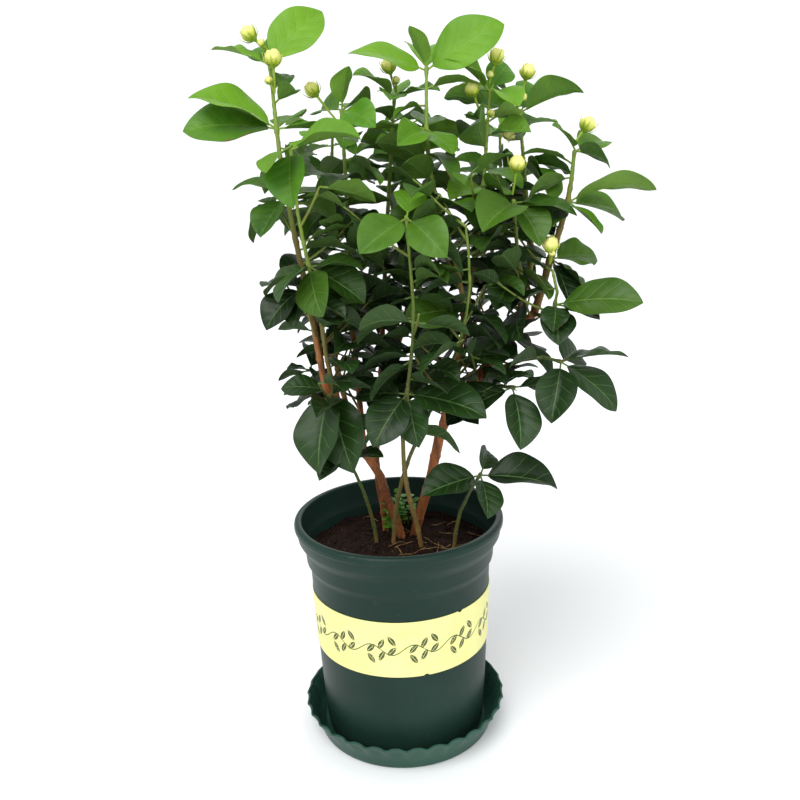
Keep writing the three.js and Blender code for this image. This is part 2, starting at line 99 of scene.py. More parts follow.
# %% [markdown]
# A studio shot of a plant needs soft light from above and in front, and a floor and a sky
# so pale that they nearly vanish. A soft sun gives the leaves their light and shade, and
# a lamp in front keeps the pot from going black. The sky is white to the eye but lights
# the plant a little less, so that the heart of the crown can be dark.

# %% Floor and light
FLOOR_SIDE = 14.0
SUN_TURN = (math.radians(32), math.radians(-20), 0)
SUN_SOFTNESS = math.radians(45)
SUN_POWER = 2.1
SKY_COLOUR = (0.97, 0.985, 1.0, 1)
SKY_LIGHT = 0.68  # what the plant gets from the sky
SKY_SEEN = 1.15  # what the eye sees of it


def clear_selection():
    if bpy.context.mode != "OBJECT":
        bpy.ops.object.mode_set(mode="OBJECT")
    bpy.ops.object.select_all(action="DESELECT")


def area_light(name, place, aim, side, power):
    bpy.ops.object.light_add(type="AREA", location=place)
    lamp = bpy.context.object
    lamp.name = name
    lamp.data.size = side
    lamp.data.energy = power
    lamp.rotation_euler = (Vector(aim) - Vector(place)).to_track_quat("-Z", "Y").to_euler()
    return lamp


area_light("front_light", (1.1, -2.0, 1.1), (0, 0, 0.3), 1.0, 11)
area_light("back_light", (0.3, 1.8, 1.3), (0, 0, 0.4), 1.4, 7)
bpy.ops.object.light_add(type="SUN", rotation=SUN_TURN)
sun = bpy.context.object
sun.name = "soft_sun"
sun.data.energy = SUN_POWER
sun.data.angle = SUN_SOFTNESS
bpy.context.scene.view_settings.view_transform = "Standard"

world = bpy.context.scene.world or bpy.data.worlds.new("sky")
bpy.context.scene.world = world
world.use_nodes = True
sky = world.node_tree.nodes["Background"]
sky.inputs["Color"].default_value = SKY_COLOUR
seen = world.node_tree.nodes.new("ShaderNodeLightPath")
strength = world.node_tree.nodes.new("ShaderNodeMapRange")
strength.inputs["To Min"].default_value = SKY_LIGHT
strength.inputs["To Max"].default_value = SKY_SEEN
world.node_tree.links.new(seen.outputs["Is Camera Ray"], strength.inputs["Value"])
world.node_tree.links.new(strength.outputs["Result"], sky.inputs["Strength"])

clear_selection()
bpy.ops.mesh.primitive_plane_add(size=FLOOR_SIDE)
floor = bpy.context.object
floor.name = "floor"
print("floor side", FLOOR_SIDE, "m")

# %% [markdown]
# Shader maths reads best as arithmetic. The first class below wraps one socket and gives
# it the usual operators, and the second makes a material and adds nodes to it, so that a
# pattern can be written as one expression.

# %% Shader helpers


class Value:
    """A shader socket that takes part in Python arithmetic."""

    def __init__(self, finish, socket):
        self.finish = finish
        self.socket = socket

    def math(self, operation, first, second=0.0, clamp=False):
        settings = {"operation": operation, "use_clamp": clamp}
        return self.finish.node("ShaderNodeMath", settings, {0: first, 1: second})

    def __add__(self, other):
        return self.math("ADD", self, other)

    def __radd__(self, other):
        return self.math("ADD", other, self)

    def __sub__(self, other):
        return self.math("SUBTRACT", self, other)

    def __rsub__(self, other):
        return self.math("SUBTRACT", other, self)

    def __mul__(self, other):
        return self.math("MULTIPLY", self, other)

    def __rmul__(self, other):
        return self.math("MULTIPLY", other, self)

    def __truediv__(self, other):
        return self.math("DIVIDE", self, other)

    def __pow__(self, other):
        return self.math("POWER", self, other)

    def __abs__(self):
        return self.math("ABSOLUTE", self)

    def sine(self):
        return self.math("SINE", self)

    def fraction(self):
        return self.math("FRACT", self)

    def angle(self, other):
        return self.math("ARCTAN2", self, other)

    def most(self, other):
        return self.math("MAXIMUM", self, other)

    def clamped(self):
        return self.math("ADD", self, 0.0, clamp=True)

    def rise(self, low, high):
        """0 below low, 1 above high and a soft step between; low may be the larger."""
        settings = {"interpolation_type": "SMOOTHSTEP", "clamp": True}
        return self.finish.node("ShaderNodeMapRange", settings, {0: self, 1: low, 2: high})


def linear(code):
    """The linear colour of a hex colour code."""
    parts = [int(code[i : i + 2], 16) / 255 for i in (0, 2, 4)]
    return tuple(p / 12.92 if p <= 0.04045 else ((p + 0.055) / 1.055) ** 2.4 for p in parts)


class Finish:
    """A new material, built node by node around one Principled shader."""

    def __init__(self, name, **fixed):
        self.material = bpy.data.materials.new(name)
        self.material.use_nodes = True
        self.tree = self.material.node_tree
        self.shader = self.tree.nodes["Principled BSDF"]
        for socket, value in fixed.items():
            self.shader.inputs[socket.replace("_", " ")].default_value = value

    def feed(self, socket, value):
        if isinstance(value, Value):
            self.tree.links.new(value.socket, socket)
        elif isinstance(value, tuple) and len(value) == 3 and socket.type == "RGBA":
            socket.default_value = (*value, 1.0)
        else:
            socket.default_value = value

    def node(self, kind, settings=None, sockets=None, out=0):
        made = self.tree.nodes.new(kind)
        for key, value in (settings or {}).items():
            setattr(made, key, value)
        for key, value in (sockets or {}).items():
            self.feed(made.inputs[key], value)
        return Value(self, made.outputs[out])

    def place(self):
        return self.node("ShaderNodeTexCoord", out="Object")

    def noise(self, scale, detail=4.0, roughness=0.55, vector=None, distortion=0.0):
        sockets = {"Scale": scale, "Detail": detail, "Roughness": roughness, "Distortion": distortion}
        sockets["Vector"] = vector or self.place()
        return self.node("ShaderNodeTexNoise", None, sockets)

    def stretched(self, factors, vector=None):
        sockets = {0: vector or self.place(), 1: factors}
        return self.node("ShaderNodeVectorMath", {"operation": "MULTIPLY"}, sockets)

    def axis(self, name, vector=None):
        return self.node("ShaderNodeSeparateXYZ", None, {0: vector or self.place()}, out=name)

    def attribute(self, name):
        return self.node("ShaderNodeAttribute", {"attribute_name": name}, out="Fac")

    def mix(self, factor, first, second):
        settings = {"data_type": "RGBA"}
        return self.node("ShaderNodeMix", settings, {0: factor, 6: first, 7: second}, out=2)

    def bump(self, height, strength, distance):
        sockets = {"Height": height, "Strength": strength, "Distance": distance}
        return self.node("ShaderNodeBump", None, sockets)

    def shade(self, **links):
        for socket, value in links.items():
            self.feed(self.shader.inputs[socket.replace("_", " ")], value)
        return self.material


pale = Finish("pale_floor", Roughness=0.9)
floor.data.materials.append(pale.shade(Base_Color=(0.93, 0.94, 0.95)))
print("shader helpers ready")

# %% [markdown]
# Pot and saucer are moulded from the same kind of polypropylene: a deep green, evenly
# coloured, with a fine orange-peel texture that breaks up its highlights. Handling leaves
# pale rubs on the lip, and watering leaves earth-coloured splashes, so both are worked
# out from noise and from how high on the pot the point lies.

# %% Moulded plastic
pot_low, pot_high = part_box("pot")
rim_top = pot_high[2]
rim_radius = pot_high[0]


def plastic(name, deep, light, lip, dust):
    """Green moulded plastic. `lip` is the height of the edge that gets rubbed."""
    finish = Finish(name, IOR=1.5, Specular_IOR_Level=0.18)
    height = finish.axis("Z")
    cloud = finish.noise(9.0, 3.0)
    grain = finish.noise(900.0, 2.0)
    scuff = finish.noise(60.0, 6.0, 0.7, finish.stretched((1.0, 1.0, 4.0)), 1.2).rise(0.62, 0.78)
    rubbed = height.rise(lip - 4 * MM, lip - 0.5 * MM) * finish.noise(190.0, 6.0, 0.75).rise(0.6, 0.72)
    splash = finish.noise(170.0, 6.0, 0.75).rise(0.6, 0.72) * dust
    splash = splash * finish.noise(14.0, 2.0).rise(0.42, 0.62)
    colour = finish.mix(cloud.rise(0.3, 0.7), deep, light)
    colour = finish.mix((scuff * 0.12 + rubbed * 0.4).clamped(), colour, linear("8f9a88"))
    colour = finish.mix(splash.clamped(), colour, linear("5d4b36"))
    roughness = 0.36 + cloud * 0.1 + scuff * 0.18 + rubbed * 0.2 + splash * 0.3
    height_map = grain * 0.4 + finish.noise(240.0, 3.0) * 0.6
    normal = finish.bump(height_map, 0.22, 0.0004)
    return finish.shade(Base_Color=colour, Roughness=roughness, Normal=normal)


pot_plastic = plastic("pot_green", linear("182d27"), linear("203830"), rim_top, 0.4)
saucer_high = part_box("saucer")[1]
saucer_plastic = plastic("saucer_green", linear("214236"), linear("2c5244"), saucer_high[2], 0.3)
print("plastic finishes:", pot_plastic.name, saucer_plastic.name)

# %% [markdown]
# A turned vessel can be drawn as a curve and spun, or raised ring by ring like a clay
# pot: one circle, extruded upwards, widened, extruded again. Raising it keeps every ring
# a clean loop of quads, and the profile can be read straight from the list of rings.

# %% Raise a vessel ring by ring


def select_only(active):
    clear_selection()
    active.select_set(True)
    bpy.context.view_layer.objects.active = active


def raise_vessel(name, rings, sides):
    """A closed turned shape. Each ring is (radius, height); the ends are capped flat."""
    clear_selection()
    radius, height = rings[0]
    foot = (0, 0, height)
    bpy.ops.mesh.primitive_circle_add(vertices=sides, radius=radius, fill_type="NGON", location=foot)
    vessel = bpy.context.object
    vessel.name = name
    bpy.ops.object.transform_apply(location=True, rotation=False, scale=False)
    bpy.ops.object.mode_set(mode="EDIT")
    bpy.ops.mesh.select_mode(type="EDGE")
    bpy.ops.mesh.select_all(action="SELECT")
    first = True
    for next_radius, next_height in rings[1:]:
        step = {"value": (0, 0, next_height - height)}
        if first:
            bpy.ops.mesh.extrude_edges_move(TRANSFORM_OT_translate=step)
            first = False
        else:
            bpy.ops.mesh.extrude_region_move(TRANSFORM_OT_translate=step)
        grow = next_radius / radius
        bpy.ops.transform.resize(value=(grow, grow, 1), center_override=(0, 0, next_height))
        radius, height = next_radius, next_height
    bpy.ops.mesh.edge_face_add()
    bpy.ops.mesh.select_all(action="SELECT")
    bpy.ops.mesh.normals_make_consistent(inside=False)
    bpy.ops.object.mode_set(mode="OBJECT")
    bpy.ops.object.shade_smooth_by_angle(angle=math.radians(40))
    return vessel


def finished(piece, slot, *replaced):
    """Hands a piece to the frame: it rides on the one body. The slot argument is not used."""
    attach(piece, "root")
    if replaced:
        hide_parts(*replaced)
    return piece


def arc(centre, radii, start, end, count):
    """Ring list along an arc: angles in degrees, measured from outwards to upwards."""
    turns = [math.radians(start + (end - start) * i / (count - 1)) for i in range(count)]
    return [(centre[0] + radii[0] * math.cos(t), centre[1] + radii[1] * math.sin(t)) for t in turns]


print("vessel helper ready")

# %% [markdown]
# The pot tapers gently from a shoulder down to its foot. Above the shoulder is a nearly
# straight collar, a skirt flares out from it, and a rolled lip finishes the mouth. The
# inside follows the outside at the thickness of the wall, down to a flat floor.

# %% Pot
POT_SIDES = 144
WALL = 2.2 * MM
pot_foot = pot_low[2]
shoulder = rim_top - 42 * MM
wall_top = rim_radius * 0.8667
wall_foot = rim_radius * 0.783
collar = rim_radius * 0.911
skirt = rim_radius * 0.967


def wall_radius(height):
    share = max(0.0, (height - pot_foot) / (shoulder - pot_foot))
    return wall_foot + (wall_top - wall_foot) * share**0.8


outside = arc((wall_foot - 3 * MM, pot_foot + 3 * MM), (3 * MM, 3 * MM), -90, -5, 5)
outside += [(wall_radius(h * MM), h * MM) for h in (14, 30, 50, 70, 90, 110, 130, 146)]
outside += [(wall_radius(shoulder - 2 * MM), shoulder - 2 * MM), (wall_top + 0.2 * MM, shoulder)]
outside += [(wall_top + 1.6 * MM, shoulder + 3 * MM), (collar - 1.2 * MM, shoulder + 5.4 * MM)]
outside += [(collar - 0.9 * MM, shoulder + 6.6 * MM), (collar - 0.2 * MM, rim_top - 25.4 * MM)]
outside += [(collar + 0.4 * MM, rim_top - 23.6 * MM), (collar + 2.4 * MM, rim_top - 20.6 * MM)]
outside += [(skirt - 0.6 * MM, rim_top - 17 * MM), (skirt + 0.2 * MM, rim_top - 15.4 * MM)]
outside += [(rim_radius - 1.7 * MM, rim_top - 8.6 * MM), (rim_radius - 1.5 * MM, rim_top - 7.6 * MM)]
outside += arc((rim_radius - 1.4 * MM, rim_top - 5.4 * MM), (1.4 * MM, 1.4 * MM), -70, 0, 4)
outside += arc((rim_radius - 3.4 * MM, rim_top - 3.4 * MM), (3.4 * MM, 3.4 * MM), 0, 90, 6)
outside += arc((rim_radius - 4.6 * MM, rim_top - 1.6 * MM), (1.8 * MM, 1.6 * MM), 90, 180, 4)
inside = [(skirt - WALL, rim_top - 15 * MM), (collar + 0.6 * MM - WALL, rim_top - 22.6 * MM)]
inside += [(collar - WALL, rim_top - 24.6 * MM), (collar - 0.9 * MM - WALL, shoulder + 6 * MM)]
inside += [(wall_top - WALL, shoulder - 0.6 * MM), (wall_top - WALL - 0.2 * MM, shoulder - 5 * MM)]
inside += [(wall_radius(90 * MM) - WALL, 90 * MM), (wall_foot - WALL, pot_foot + 8 * MM)]
inside += [(wall_foot - 6 * MM, pot_foot + WALL)]
pot = raise_vessel("nursery_pot", outside + inside, POT_SIDES)
pot.data.materials.append(pot_plastic)
finished(pot, "pot_plastic", "pot")
print("pot faces", len(pot.data.polygons))

# %% [markdown]
# The saucer is raised the same way and its lip then waves in and out, once for each
# scallop. The wave grows from nothing at half height to its full depth at the lip, as a
# moulded scallop does, so it is laid over the rings with one small formula.

# %% Saucer
SCALLOPS = 32
SCALLOP_DEPTH = 0.7 * MM
SCALLOP_DIP = 0.9 * MM
lip_radius = saucer_high[0] - SCALLOP_DEPTH
lip_top = saucer_high[2] - SCALLOP_DIP
saucer_foot = lip_radius - 11 * MM
SAUCER_WALL = 2.2 * MM
SAUCER_HEEL = 3 * MM  # height of the rounded edge under the side
SIDE_SHARES = (0.2, 0.38, 0.56, 0.74, 0.88)


def side_ring(share, inset):
    """A ring part of the way up the saucer's side, moved in by the thickness of its wall."""
    radius = saucer_foot + (lip_radius - saucer_foot) * share**1.15 - inset
    return radius, SAUCER_HEEL + (lip_top - SAUCER_HEEL) * share


rings = [(saucer_foot - 7 * MM, 0.0), (saucer_foot - 6.4 * MM, 0.9 * MM), (saucer_foot - 4 * MM, 0.9 * MM)]
rings += arc((saucer_foot - 3 * MM, 3 * MM), (3 * MM, 3 * MM), -80, -12, 4)
rings += [side_ring(share, 0.0) for share in SIDE_SHARES]
rings += arc((lip_radius - 1.1 * MM, lip_top - 1.1 * MM), (1.1 * MM, 1.1 * MM), 0, 180, 7)
rings += [side_ring(share, SAUCER_WALL) for share in reversed(SIDE_SHARES)]
rings += arc((saucer_foot - 7 * MM, 6 * MM), (4 * MM, 3.6 * MM), -10, -90, 4)
saucer = raise_vessel("saucer_dish", rings, SCALLOPS * 8)
for vertex in saucer.data.vertices:
    x, y, z = vertex.co
    lift = min(1.0, max(0.0, (z / lip_top - 0.45) / 0.5))
    lift = lift * lift * (3 - 2 * lift)
    wave = math.cos(SCALLOPS * math.atan2(y, x)) * lift
    wave += 0.25 * math.cos(2 * SCALLOPS * math.atan2(y, x)) * lift
    grow = 1 + wave * SCALLOP_DEPTH / math.hypot(x, y)
    vertex.co = (x * grow, y * grow, z - wave * SCALLOP_DIP * 0.8)
saucer.data.materials.append(saucer_plastic)
finished(saucer, "saucer_plastic", "saucer")
print("saucer faces", len(saucer.data.polygons))

# %% [markdown]
# The band is a printed plastic film. Its print here is a plain garland of small leaves,
# drawn by the material itself: the angle round the pot becomes a length along the band,
# and each leaf is the space between two parabolas.

# %% Printed film
band_low, band_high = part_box("label_band")
BAND_REPEAT = 36 * MM
GARLAND_SWING = 4.5 * MM
GARLAND_STEM = 0.5 * MM  # half the thickness of the winding stem
GARLAND_LEAVES = [  # place along, climb, and lean in degrees
    (-9, -8.5, -55),
    (-9, 1, 48),
    (0, 5.6, 62),
    (0, -5.6, -118),
    (9, 8.5, 125),
    (9, -1, -132),
]
LEAF_HALF = 5.6 * MM
LEAF_WIDE = 2.3 * MM
INK_EDGE = 0.15 * MM  # the ink fades over this much to each side of its edge
band_middle = (band_low[2] + band_high[2]) / 2


def film():
    finish = Finish("printed_film", IOR=1.46, Specular_IOR_Level=0.3)
    x = finish.axis("X")
    y = finish.axis("Y")
    height = finish.axis("Z") - band_middle
    along = x.angle(y * -1.0) * band_high[0]
    share = (along / BAND_REPEAT).fraction()
    spot = (share - 0.5) * BAND_REPEAT
    wave = (share * (2 * math.pi)).sine() * GARLAND_SWING
    ink = (GARLAND_STEM - abs(height - wave)).rise(-INK_EDGE, INK_EDGE)
    for place, climb, lean in GARLAND_LEAVES:
        lean = math.radians(lean)
        off_x = spot - place * MM
        off_z = height - climb * MM
        run = off_x * math.cos(lean) + off_z * math.sin(lean)
        across = abs(off_z * math.cos(lean) - off_x * math.sin(lean))
        edge = (1.0 - (run / LEAF_HALF) ** 2.0) * LEAF_WIDE - across
        vein = (across - 0.00016).rise(-0.0001, 0.0001)
        ink = ink.most(edge.rise(-INK_EDGE, INK_EDGE) * vein)
    soot = finish.noise(26.0, 5.0, 0.7)
    print_wear = finish.noise(700.0, 4.0, 0.7).rise(0.34, 0.42)
    paper = finish.mix(soot.rise(0.35, 0.75), linear("f0eea0"), linear("e9e58e"))
    grime = finish.noise(55.0, 6.0, 0.75).rise(0.6, 0.85) * 0.25
    colour = finish.mix(ink * print_wear, finish.mix(grime, paper, linear("b9a96a")), linear("4a5430"))
    normal = finish.bump(finish.noise(60.0, 2.0) + ink * 0.06, 0.15, 0.0006)
    return finish.shade(Base_Color=colour, Roughness=0.32 + soot * 0.18, Normal=normal)


film_finish = film()

# %% [markdown]
# The film itself is a bare tube of quads that hugs the wall, thickened outwards by half a
# millimetre. One place on its lower edge is chipped and one on its upper edge is nicked.

# %% Band
clear_selection()
bpy.ops.mesh.primitive_cylinder_add(
    vertices=POT_SIDES, radius=1, depth=1, end_fill_type="NOTHING", location=(0, 0, 0)
)
band = bpy.context.object
band.name = "blank_band"
bpy.ops.object.mode_set(mode="EDIT")
bpy.ops.mesh.select_all(action="SELECT")
bpy.ops.mesh.subdivide(number_cuts=1)
bpy.ops.object.mode_set(mode="OBJECT")
BAND_OFF = 0.25 * MM
BAND_FILM = 0.45 * MM
CHIP_HALF = 1.6 * MM
CHIP_AT = math.radians(76)
CHIP_DEPTH = 1.3 * MM
NICK_AT = math.radians(52)
NICK_DEPTH = 1.4 * MM
for vertex in band.data.vertices:
    share = vertex.co.z + 0.5
    height = band_low[2] + (band_high[2] - band_low[2]) * share
    angle = math.atan2(vertex.co.y, vertex.co.x)
    if share < 0.01 and abs(angle + CHIP_AT) * band_high[0] < CHIP_HALF:
        height += CHIP_DEPTH
    if share > 0.99 and abs(angle + NICK_AT) * band_high[0] < CHIP_HALF:
        height -= NICK_DEPTH
    radius = wall_radius(height) + BAND_OFF
    vertex.co = (radius * math.cos(angle), radius * math.sin(angle), height)
select_only(band)
thicken = band.modifiers.new("thickness", "SOLIDIFY")
thicken.thickness = BAND_FILM
thicken.offset = 1.0
bpy.ops.object.modifier_apply(modifier=thicken.name)
bpy.ops.object.mode_set(mode="EDIT")
bpy.ops.mesh.select_all(action="SELECT")
bpy.ops.mesh.normals_make_consistent(inside=False)
bpy.ops.object.mode_set(mode="OBJECT")
bpy.ops.object.shade_smooth_by_angle(angle=math.radians(40))
band.data.materials.append(film_finish)
finished(band, "band_film", "label_band")
print("band faces", len(band.data.polygons))

# %% [markdown]
# Everything that grows is read back from the frame. A stem's surface tells where the
# joints of the leaves are, and what is left of a leaf node when its joint is taken away
# falls apart into its blades. From each blade come its base, tip, upper side, width and
# the bend of its midrib.

# %% Read the stems and joints
stem_names = [name for name in nodes if name.startswith("stem")]
leaf_names = sorted(name for name in nodes if name.startswith("leaves_"))
bud_names = sorted(name for name in nodes if name.startswith("bud_"))
WELD = 0.01 * MM


def welded(name):
    """A merged copy of a node's mesh: its points, edges and faces."""
    mesh = bmesh.new()
    mesh.from_mesh(nodes[name].data)
    bmesh.ops.remove_doubles(mesh, verts=mesh.verts, dist=WELD)
    mesh.verts.index_update()
    points = np.array([vertex.co[:] for vertex in mesh.verts])
    edges = [(edge.verts[0].index, edge.verts[1].index) for edge in mesh.edges]
    faces = [[vertex.index for vertex in face.verts] for face in mesh.faces]
    mesh.free()
    return points, edges, faces


def tree_of(names):
    points = []
    faces = []
    for name in names:
        more, _, corners = welded(name)
        faces += [[index + len(points) for index in face] for face in corners]
        points += [tuple(point) for point in more]
    return BVHTree.FromPolygons(points, faces)


stem_tree = tree_of(stem_names)
JOINT_SKIN = 2.4 * MM
JOINT_REACH = 7.5 * MM
FEWEST_POINTS = 8  # a smaller group is a splinter of the joint and no blade


def joint_of(points):
    """Middle of the swollen joint: the median of the points that hug a stem."""
    near = [p for p in points if stem_tree.find_nearest(Vector(p))[3] < JOINT_SKIN]
    return np.median(np.array(near), axis=0)


def clusters(keep, edges):
    """Groups of kept points that edges join."""
    group = {index: index for index in keep}

    def root(index):
        while group[index] != index:
            group[index] = group[group[index]]
            index = group[index]
        return index

    for a, b in edges:
        if a in group and b in group:
            group[root(a)] = root(b)
    found = {}
    for index in keep:
        found.setdefault(root(index), []).append(index)
    return [members for members in found.values() if len(members) >= FEWEST_POINTS]


def unit(vector):
    return vector / np.linalg.norm(vector)


def read_blade(points, joint):
    """What one CAD blade says about its leaf."""
    tip = points[np.argmax(np.linalg.norm(points - joint, axis=1))]
    chord = tip - joint
    forward = unit(chord)
    offset = points - joint
    along = offset @ forward
    aside = offset - np.outer(along, forward)
    side = np.linalg.eigh(aside.T @ aside)[1][:, 2]
    normal = unit(np.cross(side, forward))
    if (aside @ normal).mean() < 0:
        normal = -normal
    side = np.cross(forward, normal)
    spread = aside @ side
    length = np.linalg.norm(chord)
    middle = (np.abs(spread) < 1.5 * MM) & (along > 0.3 * length) & (along < 0.7 * length)
    arch = (aside @ normal)[middle].mean() if middle.any() else 0.05 * length
    bend = 4 * math.atan(2 * arch / length)
    return {"base": joint, "tip": tip, "normal": normal, "width": np.ptp(spread), "bend": bend}


joints = {}
leaves = {}
for name in leaf_names:
    points, edges, _ = welded(name)
    joint = joint_of(points)
    joints[name] = joint
    keep = [i for i, p in enumerate(points) if np.linalg.norm(p - joint) > JOINT_REACH]
    leaves[name] = [read_blade(points[members], joint) for members in clusters(keep, edges)]

# %% [markdown]
# A jasmine leaf is egg-shaped with a short drawn-out tip. Its midrib is sunk above and
# raised below, the blade puckers a little between the side veins, and the margin waves.
# A grid is the natural start: its rows are narrowed to the outline, its points are
# lifted by one formula, and Solidify gives the sheet its thickness and its paler
# underside. Six different leaves are made, and every leaf of the plant is a copy of one
# of them, wrapped along its own arc.

# %% Model the leaves
SHEET = 0.006  # thickness over length
SIDE_VEINS = 5.6  # pairs of side veins along a blade
LEAF_FORMS = [
    {"fold": 0.09, "wave": 0.014, "count": 1.9, "phase": 0.10, "curl": 0.08, "base": 0.72, "point": 0.86},
    {"fold": 0.13, "wave": 0.026, "count": 1.6, "phase": 0.31, "curl": 0.16, "base": 0.80, "point": 0.90},
    {"fold": 0.17, "wave": 0.012, "count": 2.2, "phase": 0.22, "curl": 0.05, "base": 0.84, "point": 0.87},
    {"fold": 0.07, "wave": 0.024, "count": 1.4, "phase": 0.43, "curl": 0.18, "base": 0.70, "point": 0.82},
    {"fold": 0.11, "wave": 0.034, "count": 2.4, "phase": 0.05, "curl": 0.10, "base": 0.76, "point": 0.94},
    {"fold": 0.20, "wave": 0.018, "count": 1.8, "phase": 0.37, "curl": 0.20, "base": 0.80, "point": 0.87},
]


def half_width(share, form):
    """Outline of a blade: 0 at both ends and 1 at its widest."""
    base, point = form["base"], form["point"]
    peak = base / (base + point)
    share = min(max(share, 0.0), 1.0)
    return (share / peak) ** base * ((1 - share) / (1 - peak)) ** point


def relief(x, y, form):
    """Height of the blade over its flat outline, in leaf lengths."""
    side = 1.0 if x > 0 else -1.0
    out = abs(x)
    fold = form["fold"] * out
    wave = form["wave"] * math.sin(2 * math.pi * (form["count"] * y + form["phase"] * side)) * out * out
    quilt = 0.010 * math.cos(2 * math.pi * SIDE_VEINS * (y - 0.3 * out)) * math.sin(math.pi * out)
    curl = form["curl"] * max(0.0, y - 0.62) ** 2 * 2
    roll = 0.03 * out**4
    return (fold + wave + quilt - roll) * half_width(y, form) - curl


def model_leaf(name, form, columns, rows):
    """A leaf one unit long along +Y and one unit to each side along X."""
    clear_selection()
    bpy.ops.mesh.primitive_grid_add(x_subdivisions=columns, y_subdivisions=rows, size=1, location=(0, 0, 0))
    leaf = bpy.context.object
    leaf.name = name
    leaf.data.uv_layers[0].name = "blade"
    for vertex in leaf.data.vertices:
        x = vertex.co.x * 2
        y = 1 - (0.5 - vertex.co.y) ** 1.25
        vertex.co = (x * max(half_width(y, form), 0.015), y, relief(x, y, form))
    for material in leaf_materials:
        leaf.data.materials.append(material)
    sheet = leaf.modifiers.new("sheet", "SOLIDIFY")
    sheet.thickness = SHEET
    sheet.offset = -1
    sheet.material_offset = 1
    bpy.ops.object.modifier_apply(modifier=sheet.name)
    for vertex in leaf.data.vertices:
        if abs(vertex.co.x) < 0.02 and vertex.normal.z < 0:
            vertex.co.z -= 0.014 * (1 - 0.8 * vertex.co.y)
    bpy.ops.object.shade_smooth_by_angle(angle=math.radians(50))
    bpy.ops.mesh.primitive_cylinder_add(
        vertices=6, radius=1, depth=1, location=(0, -0.5, 0), rotation=(math.pi / 2, 0, 0)
    )
    stalk = bpy.context.object
    bpy.ops.object.transform_apply(location=True, rotation=True, scale=False)
    bpy.ops.object.shade_smooth_by_angle(angle=math.radians(50))
    stalk.data.uv_layers[0].name = "blade"
    for material in leaf_materials:
        stalk.data.materials.append(material)
    for face in stalk.data.polygons:
        face.material_index = 2
    stalk_start = len(leaf.data.vertices)
    leaf.select_set(True)
    bpy.context.view_layer.objects.active = leaf
    bpy.ops.object.join()
    points = np.array([vertex.co[:] for vertex in leaf.data.vertices])
    upper = [face for face in leaf.data.polygons if face.material_index == 0]
    faces = [tuple(f.vertices) for f in upper if all(points[v][1] > 0.12 for v in f.vertices)]
    is_stalk = np.arange(len(points)) >= stalk_start
    return {"object": leaf, "points": points, "stalk": is_stalk, "faces": faces}


# %% [markdown]
# A leaf's colour comes mostly from its age and its height: this season's leaves are a light
# yellow green, last season's a dark bluish green with a waxy gloss, and the same ramp from
# top to bottom paints light on the upper leaves and shade on the low ones. The veins are
# drawn in the leaf's own two coordinates, across and along, so they fit every copy: a pale
# midrib, and side veins that leave it at a slant and bend towards the tip.

# %% Leaf finish


def leaf_surface(name, under):
    finish = Finish(name, IOR=1.45, Specular_IOR_Level=0.38)
    flat = finish.node("ShaderNodeUVMap", {"uv_map": "blade"}, out="UV")
    across = abs(finish.axis("X", flat) - 0.5) * 2.0
    along = finish.axis("Y", flat)
    age = finish.attribute("age")
    tone = finish.attribute("tone")
    worn = finish.attribute("worn")
    net = finish.noise(420.0, 3.0, 0.6)
    cloud = finish.noise(38.0, 3.0, 0.6)
    rib = (0.034 - across).rise(-0.02, 0.02)
    slant = along * SIDE_VEINS - across * 1.9 + across * across * 0.55 + cloud * 0.5
    ripple = abs(slant.fraction() - 0.5) * 2.0
    vein = (0.09 - ripple).rise(-0.03, 0.07) * across.rise(0.97, 0.55)
    # The mix between young and old colours follows height: partly leaf age, partly painted light on upper
    # leaves and painted shade on lower ones.
    young = finish.mix(tone, linear("689a1a"), linear("437a14"))
    old = finish.mix(tone, linear("203c12"), linear("12260c"))
    if under:
        young = finish.mix(tone, linear("6f9436"), linear("567f33"))
        old = finish.mix(tone, linear("324a20"), linear("283f1c"))
    body = finish.mix(age, young, old)
    fresh = finish.mix(age, linear("7bab20"), linear("264616"))
    body = finish.mix(cloud.rise(0.35, 0.75) * 0.4, body, fresh)
    pale = finish.mix(age, linear("8db648"), linear("67894a"))
    veins = (rib * (0.22 + age * 0.24) + vein * (0.12 + age * 0.2)).clamped()
    colour = finish.mix(veins, body, pale)
    rim = (across + finish.noise(55.0, 3.0, 0.6) * 0.8).rise(1.42, 1.52) * worn
    spots = finish.noise(150.0, 5.0, 0.7).rise(0.7, 0.76) * worn
    colour = finish.mix((rim + spots * 0.7).clamped(), colour, linear("6b5028"))
    roughness = (0.36 if not under else 0.55) + net * 0.12 + (1.0 - age) * 0.08
    raised = 1.0 if under else -1.0
    height = net * 0.1 + vein * 0.8 * raised + rib * raised + finish.noise(110.0, 2.0) * 0.4
    normal = finish.bump(height + ripple * 0.5, 0.5, 0.0006)
    return finish.shade(Base_Color=colour, Roughness=roughness, Normal=normal)


def stalk_surface():
    finish = Finish("leaf_stalk", IOR=1.45)
    age = finish.attribute("age")
    # The stalk darkens with the same height ramp: partly age, partly painted shade on low leaves.
    colour = finish.mix(age, linear("86a63a"), linear("566e30"))
    colour = finish.mix(finish.noise(160.0, 4.0).rise(0.5, 0.75), colour, linear("6b5a2c"))
    return finish.shade(Base_Color=colour, Roughness=0.5 + finish.noise(300.0) * 0.1)


leaf_materials = [leaf_surface("leaf_top", False), leaf_surface("leaf_under", True), stalk_surface()]
fine_leaves = [model_leaf(f"fine_leaf_{i}", form, 8, 22) for i, form in enumerate(LEAF_FORMS)]
light_leaves = [model_leaf(f"light_leaf_{i}", form, 4, 9) for i, form in enumerate(LEAF_FORMS)]
for leaf in fine_leaves + light_leaves:
    leaf["object"].hide_render = True
print("leaf faces", len(fine_leaves[0]["object"].data.polygons), len(light_leaves[0]["object"].data.polygons))

